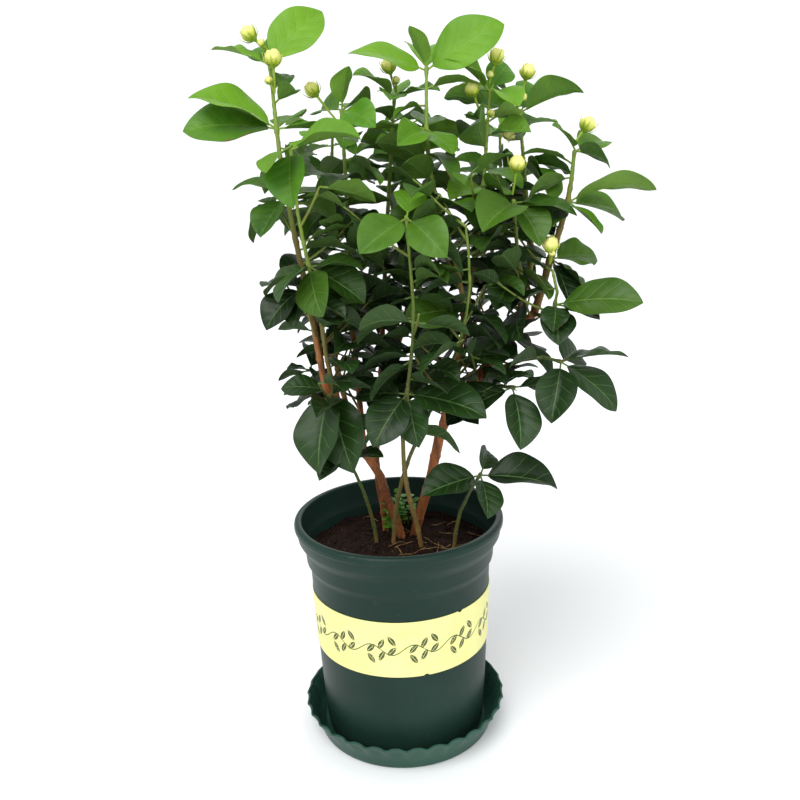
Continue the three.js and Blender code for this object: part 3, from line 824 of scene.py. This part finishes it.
# %% [markdown]
# Laying a leaf means bending its points along an arc from base to tip. The stalk takes
# the first few millimetres and the blade the rest, and both turn about the midrib by a
# small twist, so that no two copies look alike. Before a leaf is laid for good, its
# upper face is tested against everything laid so far, and another shape or twist is
# tried if the two would cut through each other.

# %% Lay leaves along their arcs
STALK = 6 * MM
STALK_RADIUS = 0.75 * MM
MOST_TWIST = 0.6
# Leaf colour turns from young to old between these heights: partly age, partly painted light above and
# painted shade below.
YOUNG_AND_LIT_FROM = 0.54  # above this height all leaves are this season's
OLD_AND_SHADED_BELOW = 0.37
chance = random.Random(7)
taken = []


def wrapped(leaf, blade, twist):
    """Where a leaf's points go when it is bent along the arc of a blade."""
    points, stalk = leaf["points"], leaf["stalk"]
    chord = blade["tip"] - blade["base"]
    length = np.linalg.norm(chord)
    forward = chord / length
    side = np.cross(forward, blade["normal"])
    bend = max(blade["bend"], 0.05)
    arc_length = length * (bend / 2) / math.sin(bend / 2)
    stem_share = min(0.3, STALK / arc_length)
    blade_share = stem_share + (1 - stem_share) * points[:, 1]
    share = np.where(stalk, stem_share * 1.15 * (1 + points[:, 1]), blade_share)
    across = points[:, 0] * np.where(stalk, STALK_RADIUS, blade["width"] / 2)
    lift = points[:, 2] * np.where(stalk, STALK_RADIUS, length)
    spin = twist * share
    across, lift = across * np.cos(spin) - lift * np.sin(spin), across * np.sin(spin) + lift * np.cos(spin)
    angle = bend * (0.5 - share)
    along = arc_length * (math.sin(bend / 2) - np.sin(angle)) / bend - lift * np.sin(angle)
    climb = arc_length * (np.cos(angle) - math.cos(bend / 2)) / bend + lift * np.cos(angle)
    turned = np.outer(along, forward) + np.outer(climb, blade["normal"]) + np.outer(across, side)
    return blade["base"] + turned


def room_for(placed, faces):
    """The space that a shape would take, or nothing if something is there already."""
    used = sorted({index for face in faces for index in face})
    low, high = placed[used].min(axis=0), placed[used].max(axis=0)
    tree = BVHTree.FromPolygons([tuple(p) for p in placed], faces)
    if tree.overlap(stem_tree):
        return None
    for other_low, other_high, other in taken:
        if (low < other_high).all() and (high > other_low).all() and tree.overlap(other):
            return None
    return low, high, tree


def duplicate(source):
    """A copy of an object with a mesh of its own."""
    copy = source.copy()
    copy.data = source.data.copy()
    bpy.context.collection.objects.link(copy)
    return copy


def bring(leaf, placed, age, tone, worn):
    """A copy of a leaf with its points where they belong, and its own colour values."""
    copy = duplicate(leaf["object"])
    copy.hide_render = False
    copy.data.vertices.foreach_set("co", placed.ravel())
    for key, value in (("age", age), ("tone", tone), ("worn", worn)):
        layer = copy.data.attributes.new(key, "FLOAT", "POINT")
        layer.data.foreach_set("value", np.full(len(placed), value))
    copy.data.update()
    return copy


def grow_leaf(choices, blade, age, tries, insist):
    """Lays a leaf in the first shape that has room; `insist` lays it in any case."""
    for _ in range(tries):
        leaf = chance.choice(choices)
        placed = wrapped(leaf, blade, chance.uniform(-MOST_TWIST, MOST_TWIST))
        room = room_for(placed, leaf["faces"])
        if room:
            break
    if not room and not insist:
        return None
    if room:
        taken.append(room)
    worn = 1.0 if chance.random() < 0.08 + 0.2 * age else 0.0
    return bring(leaf, placed, age, chance.random(), worn)


def join_pieces(pieces, name):
    clear_selection()
    for piece in pieces:
        piece.select_set(True)
    bpy.context.view_layer.objects.active = pieces[0]
    if len(pieces) > 1:
        bpy.ops.object.join()
    pieces[0].name = name
    pieces[0].data.name = name
    return pieces[0]


def age_and_shade_at(height):
    """0 for this season's leaves near the top, 1 for the oldest low down; the colour it sets is also painted
    light above and painted shade below.
    """
    share = (height - OLD_AND_SHADED_BELOW) / (YOUNG_AND_LIT_FROM - OLD_AND_SHADED_BELOW)
    return min(1.0, max(0.0, 1.0 - share + chance.uniform(-0.25, 0.25)))


def slot_of(name):
    return {row["node"]: row["material_slot"] for row in frame["record"]["subparts"]}[name]


for name in leaf_names:
    laid = []
    for blade in leaves[name]:
        laid.append(grow_leaf(fine_leaves, blade, age_and_shade_at(blade["tip"][2]), 12, True))
    finished(join_pieces(laid, f"foliage_{name[-2:]}"), slot_of(name), name)
print("foliage on", len(leaf_names), "joints; leaves with room of their own:", len(taken))

# %% [markdown]
# The wood starts from the CAD stems, which have the right routes and girths but flat
# sides. A voxel remesh turns each into an even skin, and then every point is pushed out a
# little: at the leaf joints, at the scars of older leaves, and by a fine noise on the
# thick wood. A ray through the stem gives its girth at each point, which the bark uses
# later, because young shoots are green and old wood is brown.

# %% Wood
SKIN = 0.95 * MM
SCAR_STEP = 31 * MM
THICKEST = 6.5 * MM
joint_places = [Vector(place) for place in joints.values()]


def bark():
    finish = Finish("bark", IOR=1.4)
    girth = finish.attribute("girth")
    height = finish.axis("Z")
    strands = finish.noise(150.0, 5.0, 0.65, finish.stretched((1.0, 1.0, 0.16)), 0.6)
    cloud = finish.noise(45.0, 4.0, 0.6)
    specks = finish.noise(520.0, 3.0, 0.6).rise(0.62, 0.7)
    green = finish.mix(height.rise(0.30, 0.47), linear("4a5a2c"), linear("7f9a3e"))
    brown = finish.mix(strands.rise(0.32, 0.68), linear("6e3f22"), linear("b8703f"))
    brown = finish.mix(cloud.rise(0.4, 0.75) * 0.6, brown, linear("8f5a33"))
    olive = finish.mix(strands, linear("6a5a2e"), linear("8a7a40"))
    woody = (girth + cloud * 0.0012).rise(0.0019, 0.0035)
    half = (girth + cloud * 0.0012).rise(0.0018, 0.0027)
    colour = finish.mix(half, green, olive)
    colour = finish.mix(woody * height.rise(0.42, 0.34), colour, brown)
    colour = finish.mix(specks * 0.5, colour, linear("c09a6a"))
    roughness = 0.55 + strands * 0.2
    normal = finish.bump(strands * woody + finish.noise(300.0, 3.0) * 0.4, 0.7, 0.0008)
    return finish.shade(Base_Color=colour, Roughness=roughness, Normal=normal)


bark_finish = bark()


def set_attribute(piece, key, values):
    layer = piece.data.attributes.new(key, "FLOAT", "POINT")
    layer.data.foreach_set("value", np.asarray(values, dtype=np.float32))


def swelling(place, girth):
    """How far the bark stands out at a place: joints, leaf scars and rough old wood."""
    nearest = min((place - joint).length for joint in joint_places)
    out = 0.55 * MM * math.exp(-((max(0.0, nearest - girth) / (2.6 * MM)) ** 2))
    scar = (place.z / SCAR_STEP + 0.37) % 1.0 - 0.5
    out += 0.6 * MM * math.exp(-((scar * SCAR_STEP / (1.8 * MM)) ** 2)) * min(1.0, girth / (3 * MM))
    rough = noise.noise(Vector((place.x * 320, place.y * 320, place.z * 90)))
    return out + rough * 0.06 * girth + 0.12 * MM


wood = []
for name in stem_names:
    clear_selection()
    piece = duplicate(nodes[name])
    piece.name = name.replace("stem", "wood", 1)
    select_only(piece)
    bpy.ops.object.mode_set(mode="EDIT")
    bpy.ops.mesh.select_all(action="SELECT")
    bpy.ops.mesh.remove_doubles(threshold=WELD)
    bpy.ops.object.mode_set(mode="OBJECT")
    skin = piece.modifiers.new("skin", "REMESH")
    skin.mode = "VOXEL"
    skin.voxel_size = SKIN
    bpy.ops.object.modifier_apply(modifier=skin.name)
    even = piece.modifiers.new("even", "SMOOTH")
    even.iterations = 4
    bpy.ops.object.modifier_apply(modifier=even.name)
    corners = [face.vertices for face in piece.data.polygons]
    tree = BVHTree.FromPolygons([vertex.co for vertex in piece.data.vertices], corners)
    girths = []
    for vertex in piece.data.vertices:
        inwards = -vertex.normal
        distance = tree.ray_cast(vertex.co + inwards * 0.3 * MM, inwards)[3]
        girths.append(min(THICKEST, ((distance or 0.0) + 0.3 * MM) / 2))
    places = [v.co + v.normal * swelling(v.co, g) for v, g in zip(piece.data.vertices, girths)]
    piece.data.vertices.foreach_set("co", np.array(places).ravel())
    piece.data.update()
    set_attribute(piece, "girth", girths)
    piece.data.materials.clear()
    piece.data.materials.append(bark_finish)
    bpy.ops.object.shade_smooth()
    finished(piece, slot_of(name), name)
    wood.append(piece)
print("wood faces", sum(len(piece.data.polygons) for piece in wood))

# %% [markdown]
# A real bush is much fuller than its frame: more pairs of leaves sit between the main
# joints, and short side twigs fill the middle. They are grown here by rule. A place on
# the wood is drawn by chance, the places at the front first, a pair of leaves or a twig
# starts there, square to the bark, and it stays only if there is room for it.

# %% Fill the crown
inside_low = np.array(cad_box[0]) + 1 * MM
inside_high = np.array(cad_box[1]) - 1 * MM
NODE_STEP = 10 * MM
CROWN_HEART = np.array([15.0, 50.0, 0.0]) * MM
CROWN_FRONT = 25 * MM  # the places nearer than this are filled first
CROWN_REACH = 118 * MM
CROWN_OVAL = np.array([1.0, 0.8])  # the crown reaches a quarter further to the front and back
CROWN_FOOT = 0.275
OUTWARD_OVER = 60 * MM  # leaves this far from the heart face fully outwards
FIRST_START = 0.285
LAST_START = 0.55
TWIGS_BELOW = 0.46
SLIM_WOOD = 4.5 * MM
used_nodes = [np.array(place) for place in joints.values()]


def blade_from(base, heading, rise, length, droop):
    """A leaf by its base, the way it points, its rise, its length and its droop."""
    flat = unit(np.array([heading[0], heading[1], 0.0]))
    up = np.array([0.0, 0.0, 1.0])
    forward = flat * math.cos(rise) + up * math.sin(rise)
    normal = up * math.cos(rise) - flat * math.sin(rise)
    side = np.cross(forward, normal)
    away = (base - CROWN_HEART)[:2] / OUTWARD_OVER
    away = away / max(1.0, np.linalg.norm(away))
    roll = chance.uniform(-0.3, 0.3) - 0.5 * float(side[:2] @ away)
    normal = normal * math.cos(roll) + side * math.sin(roll)
    width = length * chance.uniform(0.46, 0.58)
    return {"base": base, "tip": base + forward * length, "normal": normal, "width": width, "bend": droop}


def try_leaf(base, heading, rise, length, age, tries=3):
    blade = blade_from(base, heading, rise, length, chance.uniform(0.3, 1.1))
    tip = blade["tip"]
    reach = (tip - CROWN_HEART)[:2] * CROWN_OVAL
    outside_crown = np.linalg.norm(reach) > CROWN_REACH or tip[2] < CROWN_FOOT
    if outside_crown or (tip < inside_low).any() or (tip > inside_high).any():
        return None
    return grow_leaf(light_leaves, blade, age, tries, False)


def turned_by(heading, angle):
    x, y = heading[0], heading[1]
    cosine, sine = math.cos(angle), math.sin(angle)
    return np.array([x * cosine - y * sine, x * sine + y * cosine, 0.0])


starts = []
for piece in wood:
    girths = np.empty(len(piece.data.vertices))
    piece.data.attributes["girth"].data.foreach_get("value", girths)
    for vertex, girth in zip(piece.data.vertices, girths):
        level = FIRST_START < vertex.co.z < LAST_START and abs(vertex.normal.z) < 0.6
        if level and girth < SLIM_WOOD:
            starts.append((np.array(vertex.co), np.array(vertex.normal), girth))
chance.shuffle(starts)
starts.sort(key=lambda start: start[0][1] > CROWN_FRONT)
print("possible starts", len(starts))

grown = []
twigs = []


def rod(points, thick, thin, sides=6):
    """A tapering rod through a few points, closed at both ends."""
    data = bpy.data.curves.new("rod", "CURVE")
    data.dimensions = "3D"
    data.bevel_depth = 1.0
    data.bevel_resolution = (sides - 4) // 2
    data.use_fill_caps = True
    data.resolution_u = 3
    line = data.splines.new("NURBS")
    line.points.add(len(points) - 1)
    for index, point in enumerate(points):
        line.points[index].co = (*point, 1)
        line.points[index].radius = thick + (thin - thick) * index / (len(points) - 1)
    line.use_endpoint_u = True
    line.order_u = 3
    piece = bpy.data.objects.new("rod", data)
    bpy.context.collection.objects.link(piece)
    select_only(piece)
    bpy.ops.object.convert(target="MESH")
    return bpy.context.object


def too_near(place):
    return min(np.linalg.norm(place - other) for other in used_nodes) < NODE_STEP


def grow_twig(centre, heading):
    """A side twig with a leaf pair half way and another at its end."""
    length = chance.uniform(26, 50) * MM
    lift = chance.uniform(0.3, 1.0)
    way = unit(np.array([heading[0], heading[1], lift]))
    points = []
    for share in (0, 0.35, 0.7, 1.0):
        points.append(centre + way * length * share + np.array([0, 0, 0.18 * length * share * share]))
    if (points[-1] < inside_low).any() or (points[-1] > inside_high).any():
        return False
    if stem_tree.ray_cast(Vector(points[1]), Vector(way), length)[0] is not None:
        return False
    found = []
    side = turned_by(way, math.pi / 2)
    at_the_end = (way, side * 0.9 + way * 0.4, way * 0.4 - side)
    for place, headings in ((points[2], (side, -side)), (points[3], at_the_end)):
        for pointing in headings:
            rise = math.radians(chance.uniform(-25, 30))
            # Fill leaves are coloured as if three centimetres lower: painted shade for the inside of the
            # crown.
            leaf = try_leaf(place, pointing, rise, chance.uniform(30, 50) * MM, age_and_shade_at(place[2] - 0.03))
            if leaf:
                found.append((leaf, place))
    if len(found) < 2:
        for leaf, place in found:
            bpy.data.objects.remove(leaf)
            taken.pop()
        return False
    grown.extend(found)
    twig = rod(points, 1.15 * MM, 0.75 * MM)
    set_attribute(twig, "girth", np.full(len(twig.data.vertices), 1.5 * MM))
    twigs.append(twig)
    return True


TWIGS = 66
PAIRS = 165
pairs = 0
for place, normal, girth in starts:
    if len(twigs) >= TWIGS and pairs >= PAIRS:
        break
    if too_near(place):
        continue
    centre = place - normal * girth
    if len(twigs) < TWIGS and place[2] < TWIGS_BELOW and chance.random() < 0.5:
        if grow_twig(centre, normal):
            used_nodes.append(place)
        continue
    if pairs >= PAIRS:
        continue
    length = chance.uniform(36, 56) * MM * (0.8 if place[2] > 0.5 else 1.0)
    rise = math.radians(chance.uniform(-35, 20) + 90 * max(0.0, place[2] - 0.4))
    laid = 0
    for pointing in (normal, -normal):
        pointing = turned_by(pointing, chance.uniform(-0.35, 0.35))
        # Fill leaves are coloured as if three centimetres lower: painted shade for the inside of the crown.
        leaf = try_leaf(centre, pointing, rise, length, age_and_shade_at(place[2] - 0.03))
        if leaf:
            grown.append((leaf, place))
            laid += 1
    if laid:
        used_nodes.append(place)
        pairs += 1
print("twigs", len(twigs), "pairs", pairs, "leaves", len(grown))

# %% [markdown]
# The grown leaves are joined by level, so that each level is one piece.

# %% Join the grown leaves
LEVELS = (0.29, 0.34, 0.39, 0.44, 0.49, 0.70)
for number, top in enumerate(LEVELS):
    bottom = LEVELS[number - 1] if number else 0.0
    level = [leaf for leaf, place in grown if bottom <= place[2] < top]
    if level:
        piece = join_pieces(level, f"inner_foliage_{number + 1}")
        finished(piece, "young_leaf" if bottom > 0.43 else "old_leaf")
side_twigs = join_pieces(twigs, "side_twigs")
side_twigs.data.materials.append(bark_finish)
bpy.ops.object.shade_smooth()
finished(side_twigs, "green_stem")
print("twig faces", len(side_twigs.data.polygons))

# %% [markdown]
# Jasmine buds of the double kind are fat little cups: pale petals wrapped in a spiral over
# each other, held by a calyx whose lobes are as thin as threads. A sphere gives the core,
# and every petal is a small grid bent round it, one edge lifted over its neighbour.

# %% Bud finish
BUD_LENGTH = 12.3 * MM
BUD_WIDTH = 0.43  # radius over length
GOLDEN_TURN = math.radians(137.5)  # from each petal to the next
PETALS = 9
LOBES = 8


def petal_surface():
    finish = Finish("petals", IOR=1.4)
    climb = finish.attribute("climb")
    veins = finish.noise(260.0, 3.0, 0.6, finish.stretched((1.0, 1.0, 0.35)))
    colour = finish.mix((climb + veins * 0.3).rise(0.25, 0.85), linear("c2cf3e"), linear("f2ee92"))
    colour = finish.mix(finish.noise(120.0, 2.0).rise(0.55, 0.8) * 0.35, colour, linear("e2e36c"))
    normal = finish.bump(veins, 0.4, 0.0005)
    return finish.shade(Base_Color=colour, Roughness=0.5 + veins * 0.1, Normal=normal)


def calyx_surface():
    finish = Finish("calyx", IOR=1.4)
    climb = finish.attribute("climb")
    colour = finish.mix(climb.rise(0.0, 0.7), linear("8aa62e"), linear("c0cc4a"))
    colour = finish.mix(finish.noise(300.0, 3.0).rise(0.45, 0.75) * 0.5, colour, linear("93aa48"))
    return finish.shade(Base_Color=colour, Roughness=0.55 + finish.noise(200.0) * 0.1)


bud_materials = [petal_surface(), calyx_surface()]


def bud_radius(share, opening):
    """Outline of a bud from its base to its tip, in bud lengths."""
    body = math.sin(math.pi * min(1.0, share**0.78 * (0.93 - 0.1 * opening))) ** 0.75
    return BUD_WIDTH * max(0.02, body)


def grid_piece(name, columns, rows, place_of, material, thickness):
    """A grid whose points are set by a rule of (across, along), thickened and smoothed."""
    clear_selection()
    bpy.ops.mesh.primitive_grid_add(x_subdivisions=columns, y_subdivisions=rows, size=1, location=(0, 0, 0))
    piece = bpy.context.object
    piece.name = name
    for vertex in piece.data.vertices:
        vertex.co = place_of(vertex.co.x * 2, vertex.co.y + 0.5)
    for finish in bud_materials:
        piece.data.materials.append(finish)
    for face in piece.data.polygons:
        face.material_index = material
    sheet = piece.modifiers.new("sheet", "SOLIDIFY")
    sheet.thickness = thickness
    bpy.ops.object.modifier_apply(modifier=sheet.name)
    return piece


def model_bud(name, opening):
    """A bud one unit long, standing on the origin along +Z. `opening` runs from 0 to 1."""
    clear_selection()
    bpy.ops.mesh.primitive_uv_sphere_add(segments=14, ring_count=9, radius=0.5, location=(0, 0, 0.5))
    core = bpy.context.object
    bpy.ops.object.transform_apply(location=True, rotation=False, scale=False)
    for vertex in core.data.vertices:
        flat = math.hypot(vertex.co.x, vertex.co.y) or 1.0
        grow = bud_radius(min(0.97, max(0.03, vertex.co.z)), opening) * 0.9 / flat if flat > 0.001 else 1.0
        if vertex.co.z < 0.02 or vertex.co.z > 0.98:
            grow = 1.0
        vertex.co = (vertex.co.x * grow, vertex.co.y * grow, vertex.co.z * 0.93)
    for finish in bud_materials:
        core.data.materials.append(finish)
    parts = [core]
    for number in range(PETALS):
        turn = number * GOLDEN_TURN
        layer = number / PETALS
        top = 1.0 - 0.3 * layer

        def petal(across, along, turn=turn, layer=layer, top=top):
            share = 0.03 + along * (top - 0.03)
            spread = (0.95 - 0.2 * layer) * max(0.08, math.sin(math.pi * (0.1 + 0.82 * along))) ** 0.5
            angle = turn + across * spread
            radius = bud_radius(share, opening) * (1 + 0.07 * layer) + 0.012 + 0.028 * across
            radius += opening * 0.12 * max(0.0, along - 0.7) ** 1.5 * (1 + layer)
            return (radius * math.cos(angle), radius * math.sin(angle), share * 0.97)

        parts.append(grid_piece("petal", 4, 6, petal, 0, 0.018))
    for number in range(LOBES):
        turn = 2 * math.pi * (number + 0.3 * (number % 2)) / LOBES
        reach = 0.5 + 0.16 * (number % 3)

        def lobe(across, along, turn=turn, reach=reach):
            out = 0.2 + 0.33 * math.sin(min(1.0, along * 1.25) * math.pi / 2) + 0.1 * along * along
            width = 0.05 * (1 - along) ** 0.6 + 0.008
            x, y = out, across * width
            z = -0.02 + reach * along**1.3
            return (x * math.cos(turn) - y * math.sin(turn), x * math.sin(turn) + y * math.cos(turn), z)

        parts.append(grid_piece("lobe", 1, 5, lobe, 1, 0.03))
    clear_selection()
    bpy.ops.mesh.primitive_cone_add(
        vertices=12, radius1=0.09, radius2=0.3, depth=0.24, location=(0, 0, -0.01)
    )
    cup = bpy.context.object
    bpy.ops.object.transform_apply(location=True, rotation=False, scale=False)
    for finish in bud_materials:
        cup.data.materials.append(finish)
    for face in cup.data.polygons:
        face.material_index = 1
    parts.append(cup)
    bud = join_pieces(parts, name)
    bpy.ops.object.shade_smooth_by_angle(angle=math.radians(55))
    return bud


closed_bud = model_bud("closed_bud", 0.0)
open_bud = model_bud("open_bud", 1.0)
print("bud faces", len(closed_bud.data.polygons))

# %% [markdown]
# A CAD bud tells where its stalk starts and where its tip is. Buds are placed between
# the two, and a few more small ones are added beside them, since a truss of jasmine
# opens its buds one by one.

# %% Place the buds


def place_bud(master, foot, tip, length, name):
    """A bud on its stalk, from the foot of the stalk to the tip of the bud."""
    axis = (tip - foot).normalized()
    base = tip - axis * length
    copy = duplicate(master)
    points = np.array([vertex.co[:] for vertex in master.data.vertices])
    set_attribute(copy, "climb", np.clip(points[:, 2], 0, 1))
    turn = axis.to_track_quat("Z", "Y").to_matrix().to_4x4()
    spin = Matrix.Rotation(chance.uniform(0, 6.28), 4, "Z")
    copy.data.transform(Matrix.Translation(base) @ turn @ spin @ Matrix.Diagonal((length, length, length, 1)))
    middle = (foot + base) / 2 + Vector((chance.uniform(-1, 1), chance.uniform(-1, 1), 0)) * MM
    stalk = rod([foot, middle, base + axis * 0.5 * MM], 0.8 * MM, 1.05 * MM)
    for finish in bud_materials:
        stalk.data.materials.append(finish)
    for face in stalk.data.polygons:
        face.material_index = 1
    set_attribute(stalk, "climb", np.full(len(stalk.data.vertices), 0.1))
    return join_pieces([copy, stalk], name)


bud_feet = []
for number, name in enumerate(bud_names):
    points, _, _ = welded(name)
    foot = points[np.argmax(np.linalg.norm(points - points.mean(axis=0), axis=1))]
    tip = points[np.argmax(np.linalg.norm(points - foot, axis=1))]
    if stem_tree.find_nearest(Vector(tip))[3] < stem_tree.find_nearest(Vector(foot))[3]:
        foot, tip = tip, foot
    master = open_bud if number % 3 == 1 else closed_bud
    piece = place_bud(master, Vector(foot), Vector(tip), BUD_LENGTH, "bloom_" + name[-2:])
    finished(piece, "bud", name)
    bud_feet.append(Vector(foot))

small = []
for foot in bud_feet:
    if chance.random() < 0.55:
        lean = Vector((chance.uniform(-0.8, 0.8), chance.uniform(-0.8, 0.4), 1.0)).normalized()
        tip = foot + lean * chance.uniform(11, 16) * MM
        if tip.z < inside_high[2] and tip.x > inside_low[0]:
            small.append(place_bud(closed_bud, foot, tip, chance.uniform(4.5, 7) * MM, "small"))
finished(join_pieces(small, "small_buds"), "bud")
print("buds", len(bud_names), "and small buds", len(small))

# %% [markdown]
# Potting soil is crumbs of every size. The surface is a disc of rings pushed up and down
# by noise, with a closed plug below it, and loose crumbs lie on top. Dry straws and a few
# seedling weeds make it a lived-in pot.

# %% Soil
SOIL_SIDES = 200
SOIL_RINGS = 52
CRUMBS = 300
soil_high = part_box("soil")[1]
soil_edge = soil_high[0] + 0.6 * MM
soil_level = soil_high[2] - 8 * MM


def soil_surface():
    finish = Finish("soil", IOR=1.35, Specular_IOR_Level=0.25)
    grain = finish.noise(420.0, 6.0, 0.75)
    clod = finish.noise(90.0, 4.0, 0.65)
    moss = finish.noise(32.0, 4.0, 0.6).rise(0.66, 0.74) * finish.noise(240.0, 3.0).rise(0.45, 0.6)
    fibre = finish.noise(260.0, 3.0, 0.6, finish.stretched((1.0, 0.2, 1.0)), 2.0).rise(0.64, 0.7)
    colour = finish.mix(clod.rise(0.3, 0.7), linear("120b08"), linear("25160f"))
    colour = finish.mix(grain.rise(0.45, 0.75), colour, linear("40291d"))
    colour = finish.mix(fibre * 0.6, colour, linear("7d6242"))
    colour = finish.mix(moss * 0.6, colour, linear("4a4c1c"))
    normal = finish.bump(grain + clod * 0.6, 0.9, 0.0015)
    return finish.shade(Base_Color=colour, Roughness=0.75 + grain * 0.2, Normal=normal)


soil_finish = soil_surface()


def soil_height(x, y):
    """Height of the soil: a low heap with clods, crumbs and grains."""
    heap = 5.5 * MM * (1 - (math.hypot(x, y) / soil_edge) ** 2)
    clods = noise.noise(Vector((x, y, 0.3)) * 70) * 3.2 * MM
    crumbs = abs(noise.noise(Vector((x, y, 0.9)) * 210)) * 2.6 * MM
    grains = noise.noise(Vector((x, y, 1.7)) * 560) * 0.9 * MM
    return soil_level + heap + clods + crumbs + grains


plug = [(wall_foot - 6 * MM, pot_foot + 3 * MM), (wall_foot - 3 * MM, pot_foot + 9 * MM)]
plug += [(wall_top - WALL - 0.4 * MM, shoulder - 3 * MM), (soil_edge - 0.6 * MM, shoulder + 6.4 * MM)]
plug += [(soil_edge, soil_level - 2 * MM)]
plug += [(soil_edge * (1 - step / SOIL_RINGS), soil_level) for step in range(SOIL_RINGS)]
soil = raise_vessel("potting_soil", plug, SOIL_SIDES)
for vertex in soil.data.vertices:
    if vertex.co.z > soil_level - 1 * MM:
        vertex.co.z = soil_height(vertex.co.x, vertex.co.y)
select_only(soil)
bpy.ops.object.shade_smooth()
soil.data.materials.append(soil_finish)
finished(soil, "soil", "soil")

crumbs = []
clear_selection()
bpy.ops.mesh.primitive_ico_sphere_add(subdivisions=2, radius=1, location=(0, 0, 0))
crumb = bpy.context.object
for number in range(CRUMBS):
    copy = duplicate(crumb)
    size = chance.uniform(0.7, 1.5) * MM * (2.0 if chance.random() < 0.15 else 1.0)
    angle, reach = chance.uniform(0, 6.28), math.sqrt(chance.uniform(0.0, 0.94)) * soil_edge
    x, y = reach * math.cos(angle), reach * math.sin(angle)
    seed = Vector((number, number * 0.37, 0.1))
    stretch = (chance.uniform(0.7, 1.3), chance.uniform(0.7, 1.3), chance.uniform(0.5, 0.9))
    for vertex in copy.data.vertices:
        bulge = 1 + 0.5 * noise.noise(vertex.co * 1.3 + seed)
        moved = [vertex.co[i] * bulge * stretch[i] * size for i in range(3)]
        vertex.co = (x + moved[0], y + moved[1], soil_height(x, y) + size * 0.25 + moved[2])
    crumbs.append(copy)
bpy.data.objects.remove(crumb)
loose = join_pieces(crumbs, "soil_crumbs")
loose.data.materials.append(soil_finish)
finished(loose, "soil")
print("soil faces", len(soil.data.polygons), "crumb faces", len(loose.data.polygons))

# %% [markdown]
# Straws are thin rods that lie over the clods in shallow curves. Seedlings are the same
# rods, upright, with two or three round leaves each.

# %% Straws and seedlings
STRAWS = 20
SEEDLINGS = 17


def simple_finish(name, dark, light, rough):
    finish = Finish(name, IOR=1.4)
    mottle = finish.noise(240.0, 4.0, 0.65)
    colour = finish.mix(mottle.rise(0.35, 0.7), linear(dark), linear(light))
    normal = finish.bump(mottle, 0.4, 0.0004)
    return finish.shade(Base_Color=colour, Roughness=rough + mottle * 0.15, Normal=normal)


straws = []
for _ in range(STRAWS):
    angle, reach = chance.uniform(0, 6.28), chance.uniform(12, 62) * MM
    x, y = reach * math.cos(angle), reach * math.sin(angle)
    way = chance.uniform(0, 6.28)
    bow = chance.uniform(-0.9, 0.9)
    length = chance.uniform(9, 30) * MM
    points = []
    for step in range(5):
        heading = way + bow * step / 4
        points.append((x, y, soil_height(x, y) + (1.0 + 2.2 * chance.random()) * MM))
        x += math.cos(heading) * length / 4
        y += math.sin(heading) * length / 4
    if math.hypot(x, y) < soil_edge - 2 * MM:
        straws.append(rod(points, 0.38 * MM, 0.2 * MM))
straw = join_pieces(straws, "dry_straws")
straw.data.materials.append(simple_finish("straw", "6b4c2c", "b4935c", 0.65))
bpy.ops.object.shade_smooth()
finished(straw, "bark")

seedlings = []
for number in range(SEEDLINGS):
    x = chance.uniform(-12, 14) * MM
    y = chance.uniform(16, 48) * MM
    foot = Vector((x, y, soil_height(x, y) - 1 * MM))
    tall = chance.uniform(8, 34) * MM
    top = foot + Vector((chance.uniform(-7, 7) * MM, chance.uniform(-6, 6) * MM, tall))
    middle = (foot + top) / 2 + Vector((chance.uniform(-2, 2), 0, 0)) * MM
    seedlings.append(rod([foot, middle, top], 0.45 * MM, 0.3 * MM))
    for pair in range(3):
        at = foot.lerp(top, 1.0 - 0.24 * pair)
        for side in (0, math.pi):
            angle = side + pair * 1.4 + number
            size = chance.uniform(4.0, 7.0) * MM
            clear_selection()
            bpy.ops.mesh.primitive_circle_add(
                vertices=9, radius=size / 2, fill_type="TRIFAN", location=(0, 0, 0)
            )
            blade = bpy.context.object
            sheet = blade.modifiers.new("sheet", "SOLIDIFY")
            sheet.thickness = 0.18 * MM
            bpy.ops.object.modifier_apply(modifier=sheet.name)
            out = Matrix.Translation((size / 2, 0, 0))
            tilt = Matrix.Rotation(math.radians(chance.uniform(-35, 10)), 4, "Y")
            blade.data.transform(Matrix.Translation(at) @ Matrix.Rotation(angle, 4, "Z") @ tilt @ out)
            seedlings.append(blade)
weeds = join_pieces(seedlings, "seedling_weeds")
weeds.data.materials.append(simple_finish("weed_green", "3c7a14", "6fae28", 0.5))
bpy.ops.object.shade_smooth_by_angle(angle=math.radians(40))
finished(weeds, "young_leaf")
print("straws", len(straws), "seedling pieces", len(seedlings))

# %% [markdown]
# The masters have done their work and go.

# %% Clear away
for master in [leaf["object"] for leaf in fine_leaves + light_leaves] + [closed_bud, open_bud]:
    bpy.data.objects.remove(master)
